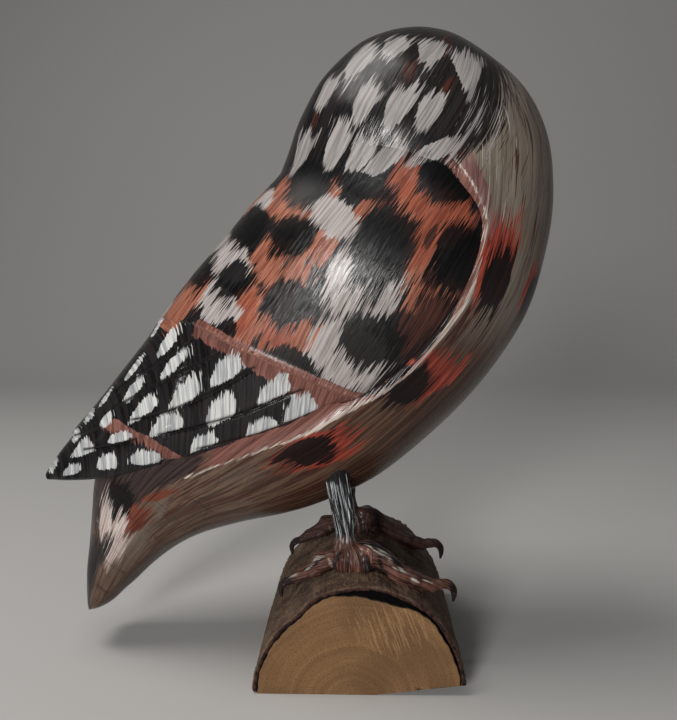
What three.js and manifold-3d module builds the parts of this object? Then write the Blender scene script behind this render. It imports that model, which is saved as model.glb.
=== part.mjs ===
// A carved and painted wooden owl, perched across a half-round log.
// Millimetres, +Z up. The origin is the middle of the log's flat underside. +X is the way the
// breast faces, +Y is the bird's left, the side that its face is turned to.

import * as THREE from 'three';
import { mergeVertices } from 'three/addons/utils/BufferGeometryUtils.js';
import Module from 'manifold-3d';

const wasm = await Module();
wasm.setup();

// Driving dimensions

const LOG_LENGTH = 100;
const LOG_WIDTH = 82;
const LOG_HEIGHT = 42.7;
const BARK_THICKNESS = 3.2;
const BARK_GAP = 2.2;
const BARK_GAP_DEPTH = 9;
const UNDERSIDE_CHIP = 4.9;

const MIDLINE_Y = -3;
const LEG_SPREAD = 50;
const FIT_GAP = 0.3;

const HEAD_CENTRE = new THREE.Vector3(25, MIDLINE_Y, 207);
const FACE_TURN = THREE.MathUtils.degToRad(78);
const FACE_NOD = THREE.MathUtils.degToRad(-4);
const FACE_REACH = 45.5;
const FACE_CURVE = 60;
const EYE_SPACING = 35;
const EYE_RADIUS = 8.5;
const EYE_RAISE = 6;
const DISC_WIDTH = 35;
const DISC_CURVE = 45;
const DISC_DEPTH = 6.2;
const BEAK_LENGTH = 26;
const BEAK_WIDTH = 11;

const FEATHER_PITCH = 0.125;
const FEATHER_FAN = 0.2;
const FEATHER_STEP = 1.1;
const COVERT_STEP = 1.3;
const FAN_START = 6.4;

// The body from tail tip to crown. Each row is one cross-section: the point on the line of the
// back (x, z), the point on the line of the belly (x, z), and half the width.

const BODY_SECTIONS = [
  [-116.6, 16.4, -114.9, 15.4, 9.0],
  [-117.4, 21.5, -107.5, 17.8, 14.0],
  [-117.4, 32.0, -99.3, 25.0, 17.0],
  [-116.2, 45.0, -90.0, 33.8, 18.5],
  [-114.8, 60.0, -79.0, 42.4, 20.5],
  [-112.0, 77.0, -66.5, 48.4, 23.5],
  [-104.0, 97.0, -50.5, 53.4, 28.0],
  [-93.0, 116.0, -31.5, 57.6, 33.5],
  [-79.0, 136.0, -11.0, 64.6, 39.0],
  [-65.0, 155.0, 10.0, 75.8, 43.5],
  [-52.0, 171.0, 33.0, 95.0, 46.0],
  [-43.0, 183.5, 54.0, 118.4, 47.5],
  [-36.2, 192.5, 68.2, 142.0, 47.5],
  [-31.8, 202.0, 75.6, 166.0, 47.0],
  [-28.2, 212.0, 78.4, 190.0, 46.5],
  [-24.0, 223.0, 76.2, 211.5, 45.0],
  [-16.5, 236.0, 67.0, 230.5, 39.0],
  [-4.0, 248.4, 52.0, 244.5, 28.5],
  [9.5, 254.6, 38.0, 253.4, 15.0],
  [24.0, 256.6, 24.0, 256.6, 0.0],
];

// The folded wings, from under the nape to their tips. Each row is as above, with one number
// more: how far from back to belly the wing's lower edge lies, as a share.

const WING_SECTIONS = [
  [-26.9, 215.0, 78.5, 197.0, 45.6, 0.47],
  [-29.9, 207.5, 77.5, 182.0, 47.4, 0.61],
  [-33.2, 202.0, 75.6, 166.0, 49.4, 0.71],
  [-38.4, 194.8, 68.6, 142.0, 50.4, 0.73],
  [-45.8, 186.2, 54.0, 118.0, 50.4, 0.73],
  [-55.7, 174.2, 33.0, 95.0, 48.9, 0.715],
  [-69.2, 159.2, 10.0, 75.5, 46.4, 0.65],
  [-83.5, 141.0, -11.0, 64.5, 42.0, 0.6],
  [-97.5, 123.5, -31.5, 57.5, 37.0, 0.52],
  [-111.0, 107.0, -50.0, 50.0, 31.5, 0.43],
  [-123.0, 93.0, -70.0, 47.0, 26.0, 0.35],
  [-131.5, 82.5, -95.0, 55.0, 20.0, 0.29],
  [-136.4, 75.2, -122.0, 67.0, 12.0, 0.25],
];

// Curves and closed surfaces

function smoothstep(low, high, value) {
  const share = THREE.MathUtils.clamp((value - low) / (high - low), 0, 1);
  return share * share * (3 - 2 * share);
}

// One row between the rows of a table, by a Catmull-Rom curve through each column.
function sectionAt(table, station) {
  const last = table.length - 1;
  const base = THREE.MathUtils.clamp(Math.floor(station), 0, last - 1);
  const u = station - base;
  const row = (offset) => table[THREE.MathUtils.clamp(base + offset, 0, last)];
  const [before, from, to, after] = [row(-1), row(0), row(1), row(2)];
  return from.map((value, column) => {
    const slope = to[column] - before[column];
    const bend = 2 * before[column] - 5 * value + 4 * to[column] - after[column];
    const twist = 3 * value - before[column] - 3 * to[column] + after[column];
    return 0.5 * (2 * value + slope * u + bend * u * u + twist * u * u * u);
  });
}

// A point on an elliptic section. The angle is 0 on the back and pi on the belly, positive on the
// bird's right. The lift moves the point outwards, square to the ellipse.
function sectionPoint(section, angle, lift) {
  const [backX, backZ, bellyX, bellyZ, width] = section;
  const halfX = (backX - bellyX) / 2;
  const halfZ = (backZ - bellyZ) / 2;
  const halfWidth = Math.max(width, 0);
  const depth = Math.hypot(halfX, halfZ);
  const outUp = Math.cos(angle) * halfWidth;
  const outSide = Math.sin(angle) * depth;
  const outLength = Math.hypot(outUp, outSide) || 1;
  const along = Math.cos(angle) + (lift * outUp) / outLength / (depth || 1);
  return new THREE.Vector3(
    (backX + bellyX) / 2 + halfX * along,
    MIDLINE_Y - halfWidth * Math.sin(angle) - (lift * outSide) / outLength,
    (backZ + bellyZ) / 2 + halfZ * along,
  );
}

// A closed skin over rings of equal length, with a fan of triangles over each end.
function skin(rings) {
  const count = rings[0].length;
  const positions = [];
  const indices = [];
  rings.forEach((ring) => ring.forEach((point) => positions.push(point.x, point.y, point.z)));
  for (let ring = 0; ring < rings.length - 1; ring += 1) {
    for (let side = 0; side < count; side += 1) {
      const here = ring * count + side;
      const next = ring * count + ((side + 1) % count);
      indices.push(here, next, next + count);
      indices.push(here, next + count, here + count);
    }
  }
  const lastRing = rings.length - 1;
  [0, lastRing].forEach((ring) => {
    const middle = new THREE.Vector3();
    rings[ring].forEach((point) => middle.addScaledVector(point, 1 / count));
    const centre = positions.length / 3;
    positions.push(middle.x, middle.y, middle.z);
    for (let side = 0; side < count; side += 1) {
      const here = ring * count + side;
      const next = ring * count + ((side + 1) % count);
      indices.push(centre, ring === 0 ? next : here, ring === 0 ? here : next);
    }
  });
  const geometry = new THREE.BufferGeometry();
  geometry.setAttribute('position', new THREE.Float32BufferAttribute(positions, 3));
  geometry.setIndex(indices);
  return geometry;
}

function signedVolume(geometry) {
  const points = geometry.attributes.position;
  const index = geometry.index;
  const [a, b, c] = [new THREE.Vector3(), new THREE.Vector3(), new THREE.Vector3()];
  let sum = 0;
  for (let corner = 0; corner < index.count; corner += 3) {
    a.fromBufferAttribute(points, index.getX(corner));
    b.fromBufferAttribute(points, index.getX(corner + 1));
    c.fromBufferAttribute(points, index.getX(corner + 2));
    sum += a.dot(b.cross(c)) / 6;
  }
  return sum;
}

// Booleans

function toSolid(geometry) {
  const bare = geometry.clone();
  bare.deleteAttribute('normal');
  bare.deleteAttribute('uv');
  const merged = mergeVertices(bare, 1e-4);
  const triangles = Uint32Array.from(merged.index.array);
  if (signedVolume(merged) < 0) {
    for (let corner = 0; corner < triangles.length; corner += 3) {
      const swap = triangles[corner + 1];
      triangles[corner + 1] = triangles[corner + 2];
      triangles[corner + 2] = swap;
    }
  }
  const vertices = Float32Array.from(merged.attributes.position.array);
  return new wasm.Manifold(new wasm.Mesh({ numProp: 3, vertProperties: vertices, triVerts: triangles }));
}

function toGeometry(solid) {
  const mesh = solid.getMesh();
  const geometry = new THREE.BufferGeometry();
  geometry.setAttribute('position', new THREE.Float32BufferAttribute(mesh.vertProperties, 3));
  geometry.setIndex(Array.from(mesh.triVerts));
  geometry.computeVertexNormals();
  return geometry;
}

function join(solids) {
  return solids.reduce((whole, solid) => whole.add(solid));
}

// Body, tail and head: one smooth loft. A swelling makes it fatter all over, to cut what meets it.
function bodyLoft(swelling) {
  const ringSides = 28;
  const stationSteps = 36;
  const lastStation = BODY_SECTIONS.length - 1;
  const rings = [];
  for (let step = 0; step < stationSteps; step += 1) {
    const section = sectionAt(BODY_SECTIONS, (step / stationSteps) * lastStation);
    const ring = [];
    for (let side = 0; side < ringSides; side += 1) {
      ring.push(sectionPoint(section, (side / ringSides) * 2 * Math.PI, swelling));
    }
    rings.push(ring);
  }
  const crown = sectionAt(BODY_SECTIONS, lastStation);
  const tip = sectionPoint(crown, 0, 0);
  rings.push(rings[0].map((point, side) => {
    const turn = (side / ringSides) * 2 * Math.PI;
    return new THREE.Vector3(tip.x - Math.cos(turn), tip.y - Math.sin(turn), tip.z + swelling);
  }));
  return toSolid(skin(rings));
}

// Where the coverts end and the flight feathers begin, as a station along the wing.
// The share runs from 0 at the middle of the back to 1 at the wing's lower edge.
function covertLine(share) {
  const cornerShare = 0.49;
  const cornerStation = 6.37;
  const slope = share > cornerShare ? -2.0 : -1.3;
  return cornerStation + (share - cornerShare) * slope;
}

// Where the secondaries end and the primaries come out from under them.
function primaryLine(share) {
  const cornerShare = 0.58;
  const cornerStation = 8.75;
  const slope = share > cornerShare ? -1.6 : -9;
  return cornerStation + (share - cornerShare) * slope;
}

// The carving on a wing: coverts stand a step above the flight feathers, each flight feather
// rises to its lower edge and drops to the next, a groove parts the two wings along the back,
// and the wing's own edge is rounded off.
function wingCarving(station, share) {
  const fan = FEATHER_FAN * Math.max(0, station - FAN_START);
  const feather = (share + fan) / (1 + fan) / FEATHER_PITCH;
  const acrossFeather = feather - Math.floor(feather);
  const beyondCoverts = smoothstep(0, 0.07, station - covertLine(share));
  const beyondSecondaries = smoothstep(0, 0.07, station - primaryLine(share));
  const tipFade = 1 - 0.6 * smoothstep(9, 12, station);
  const feathers = FEATHER_STEP * (acrossFeather - 0.5) * tipFade;
  const steps = COVERT_STEP + 0.6 * beyondSecondaries;
  const parting = 2.2 * smoothstep(5, 9, station) * (1 - smoothstep(0, 0.1, share));
  const edge = 0.7 * smoothstep(0.95, 1, share);
  return beyondCoverts * (feathers - steps) - parting - edge;
}

// Both wings and the back between them: a saddle over the body that ends in the free tips.
function wingLoft() {
  const columns = 25;
  const frontRows = 11;
  const rearRows = 26;
  const lastStation = WING_SECTIONS.length - 1;
  const ringAt = (stationOf) => {
    const ring = [];
    for (let column = -columns; column <= columns; column += 1) {
      const share = Math.abs(column) / columns;
      const station = stationOf(share);
      const section = sectionAt(WING_SECTIONS, station);
      const edgeAngle = Math.acos(1 - 2 * section[5]);
      const angle = (edgeAngle * column) / columns;
      ring.push(sectionPoint(section, angle, wingCarving(station, share)));
    }
    const [farEdge, nearEdge] = [ring[0], ring[ring.length - 1]];
    [0.25, 0.5, 0.75].forEach((along) => ring.push(nearEdge.clone().lerp(farEdge, along)));
    return ring;
  };
  const rings = [];
  for (let row = 0; row <= frontRows; row += 1) {
    rings.push(ringAt((share) => (covertLine(share) * row) / frontRows));
  }
  for (let row = 0; row <= rearRows; row += 1) {
    rings.push(ringAt((share) => {
      const first = covertLine(share) + 0.09;
      return first + ((lastStation - first) * row) / rearRows;
    }));
  }
  return toSolid(skin(rings));
}

// A limb: rings of a changing radius along a path. Each stop is x, y, z, radius.
function limb(stops, sides) {
  const points = stops.map(([x, y, z]) => new THREE.Vector3(x, y, z));
  const rings = points.map((point, stop) => {
    const ahead = points[Math.min(stop + 1, points.length - 1)];
    const behind = points[Math.max(stop - 1, 0)];
    const along = ahead.clone().sub(behind).normalize();
    const sideways = new THREE.Vector3(0, 1, 0).addScaledVector(along, -along.y).normalize();
    const upwards = sideways.clone().cross(along);
    const ring = [];
    for (let side = 0; side < sides; side += 1) {
      const turn = (side / sides) * 2 * Math.PI;
      ring.push(point.clone()
        .addScaledVector(sideways, Math.cos(turn) * stops[stop][3])
        .addScaledVector(upwards, Math.sin(turn) * stops[stop][3]));
    }
    return ring;
  });
  return toSolid(skin(rings));
}

// The face: two shallow dished discs with an eye in each, and a hooked beak between them.
// A place on it is given as sideways, upwards and outwards from the middle of its front.
const FACE_FORWARD = new THREE.Vector3(
  Math.cos(FACE_TURN) * Math.cos(FACE_NOD),
  Math.sin(FACE_TURN) * Math.cos(FACE_NOD),
  Math.sin(FACE_NOD),
);
const FACE_ACROSS = new THREE.Vector3(-Math.sin(FACE_TURN), Math.cos(FACE_TURN), 0);
const FACE_UP = FACE_FORWARD.clone().cross(FACE_ACROSS);

function facePlace(sideways, up, out) {
  return HEAD_CENTRE.clone()
    .addScaledVector(FACE_FORWARD, FACE_REACH + out)
    .addScaledVector(FACE_ACROSS, sideways)
    .addScaledVector(FACE_UP, up);
}

// A shallow bowl-shaped cutter with its deepest point at the given place.
function discCutter(deepest) {
  const arcSteps = 6;
  const rim = DISC_WIDTH / 2 + 6;
  const profile = [];
  for (let step = 0; step <= arcSteps; step += 1) {
    const radius = (rim * step) / arcSteps;
    profile.push(new THREE.Vector2(radius, DISC_CURVE - Math.sqrt(DISC_CURVE ** 2 - radius ** 2)));
  }
  profile.push(new THREE.Vector2(rim, 20));
  profile.push(new THREE.Vector2(0, 20));
  const bowl = new THREE.LatheGeometry(profile, 28);
  const facing = new THREE.Quaternion().setFromUnitVectors(new THREE.Vector3(0, 1, 0), FACE_FORWARD);
  bowl.applyQuaternion(facing);
  bowl.translate(deepest.x, deepest.y, deepest.z);
  return toSolid(bowl);
}

function eyeball(centre) {
  const geometry = new THREE.SphereGeometry(EYE_RADIUS, 16, 10);
  geometry.translate(centre.x, centre.y, centre.z);
  return toSolid(geometry);
}

function carveFace(head) {
  const fallOff = EYE_SPACING ** 2 / 8 / FACE_CURVE;
  const discFloor = -fallOff - DISC_DEPTH;
  let carved = head;
  [-0.5, 0.5].forEach((side) => {
    carved = carved.subtract(discCutter(facePlace(side * EYE_SPACING, EYE_RAISE, discFloor)));
  });
  [-0.5, 0.5].forEach((side) => {
    carved = carved.add(eyeball(facePlace(side * EYE_SPACING, EYE_RAISE, discFloor - 2)));
  });
  // Down the beak as a share of its length, out from the face, and radius as a share of its width.
  const beakStops = [
    [0, -4, 0.3],
    [0.25, 0.5, 0.46],
    [0.5, 3.5, 0.5],
    [0.75, 4.5, 0.36],
    [1, 1.5, 0.1],
  ].map(([down, out, fullness]) => {
    const point = facePlace(0, EYE_RAISE + 7 - down * BEAK_LENGTH, out);
    return [point.x, point.y, point.z, fullness * BEAK_WIDTH];
  });
  return carved.add(limb(beakStops, 10));
}

// The log: half a branch in its bark, sawn square at both ends.
function logOutline(angle, along, shrink) {
  const leftShoulder = 0.06 * Math.exp(-(((angle - 2.27) / 0.44) ** 2));
  const knots = 0.012 * Math.sin(5 * angle + 0.045 * along) + 0.008 * Math.sin(11 * angle - 0.08 * along + 1);
  const size = (1 - leftShoulder + knots * Math.sin(angle)) * (1 - shrink);
  return [Math.cos(angle) * (LOG_WIDTH / 2) * size, Math.sin(angle) * LOG_HEIGHT * size];
}

function logLoft(swelling) {
  const arcSides = 26;
  const lengthSteps = 10;
  const shrink = -swelling / LOG_HEIGHT;
  const rings = [];
  for (let step = 0; step <= lengthSteps; step += 1) {
    const y = (step / lengthSteps - 0.5) * LOG_LENGTH;
    const ring = [];
    for (let side = 0; side <= arcSides; side += 1) {
      const [x, z] = logOutline((side / arcSides) * Math.PI, y, shrink);
      ring.push(new THREE.Vector3(x, y, z));
    }
    [-0.5, 0, 0.5].forEach((share) => ring.push(new THREE.Vector3(share * LOG_WIDTH, y, 0)));
    rings.push(ring);
  }
  return toSolid(skin(rings));
}

// The crescent between wood and bark at the near end, open where the bark has lifted.
function barkGap() {
  const [fromAngle, toAngle, steps] = [0.55, 2.35, 14];
  const outline = [];
  const point = (angle, inward) => {
    const [x, z] = logOutline(angle, -LOG_LENGTH / 2, 0);
    return new THREE.Vector2(x - Math.cos(angle) * inward, z - Math.sin(angle) * inward);
  };
  for (let step = 0; step <= steps; step += 1) {
    const angle = fromAngle + ((toAngle - fromAngle) * step) / steps;
    outline.push(point(angle, BARK_THICKNESS - 0.8 * Math.sin((Math.PI * step) / steps)));
  }
  for (let step = steps; step >= 0; step -= 1) {
    const angle = fromAngle + ((toAngle - fromAngle) * step) / steps;
    const opening = 0.3 + BARK_GAP * Math.sin((Math.PI * step) / steps) ** 1.5;
    outline.push(point(angle, BARK_THICKNESS + opening - 0.8 * Math.sin((Math.PI * step) / steps)));
  }
  const geometry = new THREE.ExtrudeGeometry(new THREE.Shape(outline), {
    depth: BARK_GAP_DEPTH + 1,
    bevelEnabled: false,
  });
  geometry.rotateX(Math.PI / 2);
  geometry.translate(0, BARK_GAP_DEPTH - LOG_LENGTH / 2, 0);
  return toSolid(geometry);
}

// The wood missing from the underside: a thin wedge below the front right corner.
function undersideChip() {
  const near = -LOG_LENGTH / 2 - 2;
  const wide = LOG_WIDTH / 2 + 3;
  const top = [
    new THREE.Vector3(4, near, 0),
    new THREE.Vector3(wide, near, UNDERSIDE_CHIP),
    new THREE.Vector3(wide, 32, 0),
  ];
  const bottom = top.map((point) => new THREE.Vector3(point.x, point.y, -2));
  return toSolid(skin([top, bottom]));
}

function halfLog() {
  return logLoft(0).subtract(barkGap()).subtract(undersideChip());
}

// A leg with its foot. The bird's right leg stands at the near side; the other is its copy,
// one leg spread further along the log.
function leg(offsetY) {
  const y = MIDLINE_Y - LEG_SPREAD / 2 + offsetY;
  const shank = limb([
    [-8.5, y, 88, 5.2],
    [-8.0, y, 76, 4.6],
    [-6.8, y, 64, 4.1],
    [-6.2, y, 55, 3.9],
    [-4.5, y - 0.5, 48, 6.5],
    [-2.8, y - 1.0, 42, 8.6],
    [-2.5, y - 1.0, 38, 7.5],
  ], 12);
  const frontToe = limb([
    [-3.0, y - 1.0, 47.0, 4.0],
    [4.0, y - 2.0, 47.3, 4.7],
    [11.0, y - 3.0, 43.0, 4.9],
    [18.5, y - 4.0, 39.0, 4.5],
    [25.5, y - 4.0, 35.5, 3.7],
    [31.5, y - 3.5, 34.4, 2.6],
    [35.5, y - 3.0, 33.6, 2.1],
    [38.2, y - 2.5, 30.8, 1.6],
    [38.4, y - 2.5, 27.6, 0.7],
  ], 10);
  const backToe = limb([
    [-5.0, y - 1.0, 45.5, 4.0],
    [-12.0, y - 2.0, 44.5, 4.2],
    [-19.0, y - 3.0, 41.8, 3.7],
    [-25.5, y - 3.5, 38.0, 2.9],
    [-29.0, y - 3.5, 36.2, 1.9],
    [-31.0, y - 3.5, 33.4, 1.5],
    [-31.4, y - 3.5, 29.8, 0.7],
  ], 10);
  const whole = join([shank, frontToe, backToe]);
  return whole.subtract(logLoft(FIT_GAP)).subtract(bodyLoft(FIT_GAP));
}

// Materials

const painted = new THREE.MeshStandardMaterial({ color: 0x8a7a70, roughness: 0.42, metalness: 0 });
const reddish = new THREE.MeshStandardMaterial({ color: 0x7a4638, roughness: 0.5, metalness: 0 });
const bark = new THREE.MeshStandardMaterial({ color: 0x5f5041, roughness: 0.9, metalness: 0 });

function piece(name, solid, material) {
  const mesh = new THREE.Mesh(toGeometry(solid), material);
  mesh.name = name;
  return mesh;
}

const owl = new THREE.Group();
owl.add(piece('owl_body', carveFace(bodyLoft(0).add(wingLoft())), painted));
owl.add(piece('right_leg', leg(0), reddish));
owl.add(piece('left_leg', leg(LEG_SPREAD), reddish));
owl.add(piece('half_log', halfLog(), bark));

export default owl;
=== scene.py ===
import math

import bpy
import numpy as np
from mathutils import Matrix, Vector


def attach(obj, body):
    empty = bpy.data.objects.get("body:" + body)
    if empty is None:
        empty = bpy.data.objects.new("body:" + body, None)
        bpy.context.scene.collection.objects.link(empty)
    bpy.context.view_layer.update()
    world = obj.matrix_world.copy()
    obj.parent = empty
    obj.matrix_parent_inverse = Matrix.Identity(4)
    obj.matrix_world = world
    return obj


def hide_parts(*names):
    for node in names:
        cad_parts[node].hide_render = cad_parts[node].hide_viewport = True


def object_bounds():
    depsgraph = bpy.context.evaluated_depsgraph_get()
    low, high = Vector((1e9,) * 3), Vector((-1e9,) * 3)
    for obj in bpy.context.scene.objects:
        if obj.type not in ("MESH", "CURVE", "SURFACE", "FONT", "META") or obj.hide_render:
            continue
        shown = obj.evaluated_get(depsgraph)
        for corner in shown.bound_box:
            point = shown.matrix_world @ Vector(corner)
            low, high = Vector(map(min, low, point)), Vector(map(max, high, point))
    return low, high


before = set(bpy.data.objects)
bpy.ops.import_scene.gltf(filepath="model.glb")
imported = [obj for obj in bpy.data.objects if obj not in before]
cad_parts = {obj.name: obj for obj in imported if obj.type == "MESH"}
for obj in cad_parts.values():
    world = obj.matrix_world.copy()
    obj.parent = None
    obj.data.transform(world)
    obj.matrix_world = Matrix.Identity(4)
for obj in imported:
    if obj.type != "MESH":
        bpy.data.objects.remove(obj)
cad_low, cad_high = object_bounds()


# The camera stands low in front of the log, level with the owl's back, and looks slightly down.
camera = bpy.data.objects.new("camera", bpy.data.cameras.new("camera"))
bpy.context.scene.collection.objects.link(camera)
bpy.context.scene.camera = camera
camera.location = (0.0, -0.333, 0.153)
camera.rotation_euler = (math.radians(84.75), 0.0, math.radians(1.57))
camera.data.lens = 39.15
camera.data.sensor_width = 36.0
camera.data.clip_start = 0.01


# The carved body: tail, breast and head, shaped with knife and rasp from one block of wood,
# sanded smooth and painted. All sizes are in millimetres until the mesh is made.
MM = 0.001
MIDLINE_Y = -3.0
BODY_SECTIONS = np.array([
    # line of the back x, z; line of the belly x, z; half width
    [-116.6, 16.4, -114.9, 15.4, 9.0],
    [-117.4, 21.5, -107.5, 17.8, 14.0],
    [-117.4, 32.0, -99.3, 25.0, 17.0],
    [-116.2, 45.0, -90.0, 33.8, 18.5],
    [-114.8, 60.0, -79.0, 42.4, 20.5],
    [-112.0, 77.0, -66.5, 48.4, 23.5],
    [-104.0, 97.0, -50.5, 53.4, 28.0],
    [-93.0, 116.0, -31.5, 57.6, 33.5],
    [-79.0, 136.0, -11.0, 64.6, 39.0],
    [-65.0, 155.0, 10.0, 75.8, 43.5],
    [-52.0, 171.0, 33.0, 95.0, 46.0],
    [-43.0, 183.5, 54.0, 118.4, 47.5],
    [-36.2, 192.5, 68.2, 142.0, 47.5],
    [-31.8, 202.0, 75.6, 166.0, 47.0],
    [-28.2, 212.0, 78.4, 190.0, 46.5],
    [-24.0, 223.0, 76.2, 211.5, 45.0],
    [-16.5, 236.0, 67.0, 230.5, 39.0],
    [-4.0, 248.4, 52.0, 244.5, 28.5],
    [9.5, 254.6, 38.0, 253.4, 15.0],
    [24.0, 256.6, 24.0, 256.6, 0.0],
])
# The row after the crown is the last ring but one seen across the pole, so the crown is round.
BEYOND_CROWN = BODY_SECTIONS[-2][[2, 3, 0, 1, 4]] * (1, 1, 1, 1, -1)


def smoothstep(low, high, value):
    """0 at low and beyond it, 1 at high and beyond it, and 3t^2 - 2t^3 between them."""
    share = np.clip((value - low) / (high - low), 0.0, 1.0)
    return share * share * (3.0 - 2.0 * share)


def bump_at(distance, width):
    """A soft hump: exp(-(distance / width)^2)."""
    return np.exp(-(distance / width) ** 2)


def rows_between(table, station, beyond=None):
    """Rows between the rows of a table: a Catmull-Rom curve through each column."""
    last = table[-1] if beyond is None else beyond
    rows = np.vstack([table[:1], table, last[None]])
    base = np.clip(np.floor(station).astype(int), 0, len(table) - 2)
    u = (station - base)[..., None]
    before, here, ahead, after = (rows[base + step] for step in range(4))
    slope = ahead - before
    bend = 2 * before - 5 * here + 4 * ahead - after
    twist = 3 * here - before - 3 * ahead + after
    return 0.5 * (2 * here + slope * u + bend * u**2 + twist * u**3)


def on_section(row, angle, lift):
    """A point on an elliptic section: its middle, plus half the line from belly to back times
    cos(angle), plus the half width times sin(angle) towards the bird's right. The lift moves it
    square to the ellipse."""
    half_x, half_z = (row[..., 0] - row[..., 2]) / 2, (row[..., 1] - row[..., 3]) / 2
    width = np.maximum(row[..., 4], 0.0)
    depth = np.maximum(np.hypot(half_x, half_z), 1e-6)
    out_up, out_side = np.cos(angle) * width, np.sin(angle) * depth
    length = np.maximum(np.hypot(out_up, out_side), 1e-6)
    along = np.cos(angle) + lift * out_up / length / depth
    x = (row[..., 0] + row[..., 2]) / 2 + half_x * along
    y = MIDLINE_Y - width * np.sin(angle) - lift * out_side / length
    z = (row[..., 1] + row[..., 3]) / 2 + half_z * along
    return np.stack([x, y, z], -1)


def smooth_path(points, steps=8):
    """Points of a Catmull-Rom curve through the given ones, a fixed number to each stretch."""
    points = np.array(points, float)
    return rows_between(points, np.linspace(0, len(points) - 1, steps * (len(points) - 1) + 1))


def from_path(places, points):
    """Distance in the side view from a path, positive on its left, and the share along it."""
    path = smooth_path(points)
    start, step = path[:-1], np.diff(path, axis=0)
    length = np.hypot(step[:, 0], step[:, 1])
    travelled = np.concatenate([[0], np.cumsum(length)])
    best = np.full(len(places), 1e9)
    signed, share = best.copy(), best.copy()
    for piece in range(len(start)):
        away = places - start[piece]
        t = np.clip(away @ step[piece] / length[piece] ** 2, 0, 1)
        gap = away - t[:, None] * step[piece]
        distance = np.hypot(gap[:, 0], gap[:, 1])
        side = np.sign(step[piece, 0] * away[:, 1] - step[piece, 1] * away[:, 0])
        nearer = distance < best
        best = np.where(nearer, distance, best)
        signed = np.where(nearer, distance * side, signed)
        share = np.where(nearer, (travelled[piece] + t * length[piece]) / travelled[-1], share)
    return signed, share


def side_view(points):
    """x and z of points, as one row each."""
    return points[..., [0, 2]].reshape(-1, 2)


def mesh_piece(name, points, faces):
    """A piece of smooth mesh in the scene. Its points are in metres."""
    mesh = bpy.data.meshes.new(name)
    mesh.from_pydata(points.tolist(), [], faces)
    mesh.shade_smooth()
    piece = bpy.data.objects.new(name, mesh)
    bpy.context.scene.collection.objects.link(piece)
    return piece


def inside_box(points):
    """Points in millimetres, moved inside the box of the solids if they lie outside it."""
    return np.clip(points, np.array(cad_low) / MM, np.array(cad_high) / MM)


def ring_skin(name, rings):
    """A closed mesh over rings of points in millimetres: four-sided faces between neighbours,
    wrapped round each ring, and a fan over the first and last ring. Faces point outwards."""
    count_rings, count = rings.shape[:2]
    middles = rings[[0, -1]].mean(1)
    points = inside_box(np.concatenate([rings.reshape(-1, 3), middles]))
    ring, side = np.meshgrid(np.arange(count_rings - 1), np.arange(count), indexing="ij")
    here = (ring * count + side).ravel()
    after = (ring * count + (side + 1) % count).ravel()
    quads = np.stack([here, after, after + count, here + count], 1)
    around = np.arange(count)
    onward = (around + 1) % count
    top = (count_rings - 1) * count
    first = np.full(count, len(points) - 2)
    last = np.full(count, len(points) - 1)
    fans = np.concatenate([
        np.stack([first, onward, around], 1),
        np.stack([last, around + top, onward + top], 1),
    ])
    corners = points[np.concatenate([quads[:, :3], quads[:, [0, 2, 3]], fans])]
    volume = np.einsum("ij,ij->i", corners[:, 0], np.cross(corners[:, 1], corners[:, 2])).sum()
    if volume < 0:
        quads, fans = quads[:, ::-1], fans[:, ::-1]
    return mesh_piece(name, points * MM, quads.tolist() + fans.tolist())


# The crest along the flank, beside the wings' edge and on down the side of the tail (x, z).
CREST = [
    (32, 200), (39, 191), (45, 179), (45, 172), (43, 163), (39, 149), (32, 139), (21, 125),
    (9, 115), (-6, 107), (-22, 98), (-43, 90), (-62, 82), (-80, 73), (-90, 64), (-97, 53),
    (-103, 45), (-108, 36), (-112, 26),
]

BODY_RINGS, BODY_SPOKES = 420, 226
KNIFE_DEPTH = 0.22
stations, angles = np.meshgrid(
    np.linspace(0, len(BODY_SECTIONS) - 1, BODY_RINGS),
    np.arange(BODY_SPOKES) / BODY_SPOKES * 2 * math.pi,
    indexing="ij",
)
body_rows = rows_between(BODY_SECTIONS, stations, BEYOND_CROWN)
plain_body = on_section(body_rows, angles, 0.0)
past_crest, along_crest = (
    part.reshape(stations.shape) for part in from_path(side_view(plain_body), CREST)
)
crest_rise = 1.9 - 0.9 * smoothstep(0.62, 0.8, along_crest)
crest_side = np.where(past_crest > 0, bump_at(past_crest, 7.0), bump_at(past_crest, 1.6))
crest_ends = smoothstep(0.0, 0.06, along_crest) * (1 - smoothstep(0.93, 1.0, along_crest))
crest = crest_rise * crest_side * crest_ends
knife_facets = KNIFE_DEPTH * np.sin(angles * 7 + 1.3 * stations)
knife_facets *= np.sin(stations * 2.6 + 2 * np.cos(angles))
knife_facets *= smoothstep(0.2, 2, stations) * (1 - smoothstep(17.5, 18.8, stations))
body_points = on_section(body_rows, angles, crest + knife_facets)

# The face looks over the bird's left shoulder: two dished discs meet along the beak.
HEAD_CENTRE = np.array([25.0, MIDLINE_Y, 207.0])
FACE_TURN, FACE_NOD = math.radians(78), math.radians(-4)
FACE_FORWARD = np.array([
    math.cos(FACE_TURN) * math.cos(FACE_NOD),
    math.sin(FACE_TURN) * math.cos(FACE_NOD),
    math.sin(FACE_NOD),
])
FACE_ACROSS = np.array([-math.sin(FACE_TURN), math.cos(FACE_TURN), 0.0])
FACE_UP = np.cross(FACE_FORWARD, FACE_ACROSS)
FACE_REACH, FACE_CURVE = 45.5, 60.0
EYE_SPACING, EYE_RADIUS, EYE_RAISE = 35.0, 8.5, 6.0
DISC_CURVE, DISC_DEPTH = 45.0, 6.2
DISC_FLOOR = -EYE_SPACING**2 / 8 / FACE_CURVE - DISC_DEPTH


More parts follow.
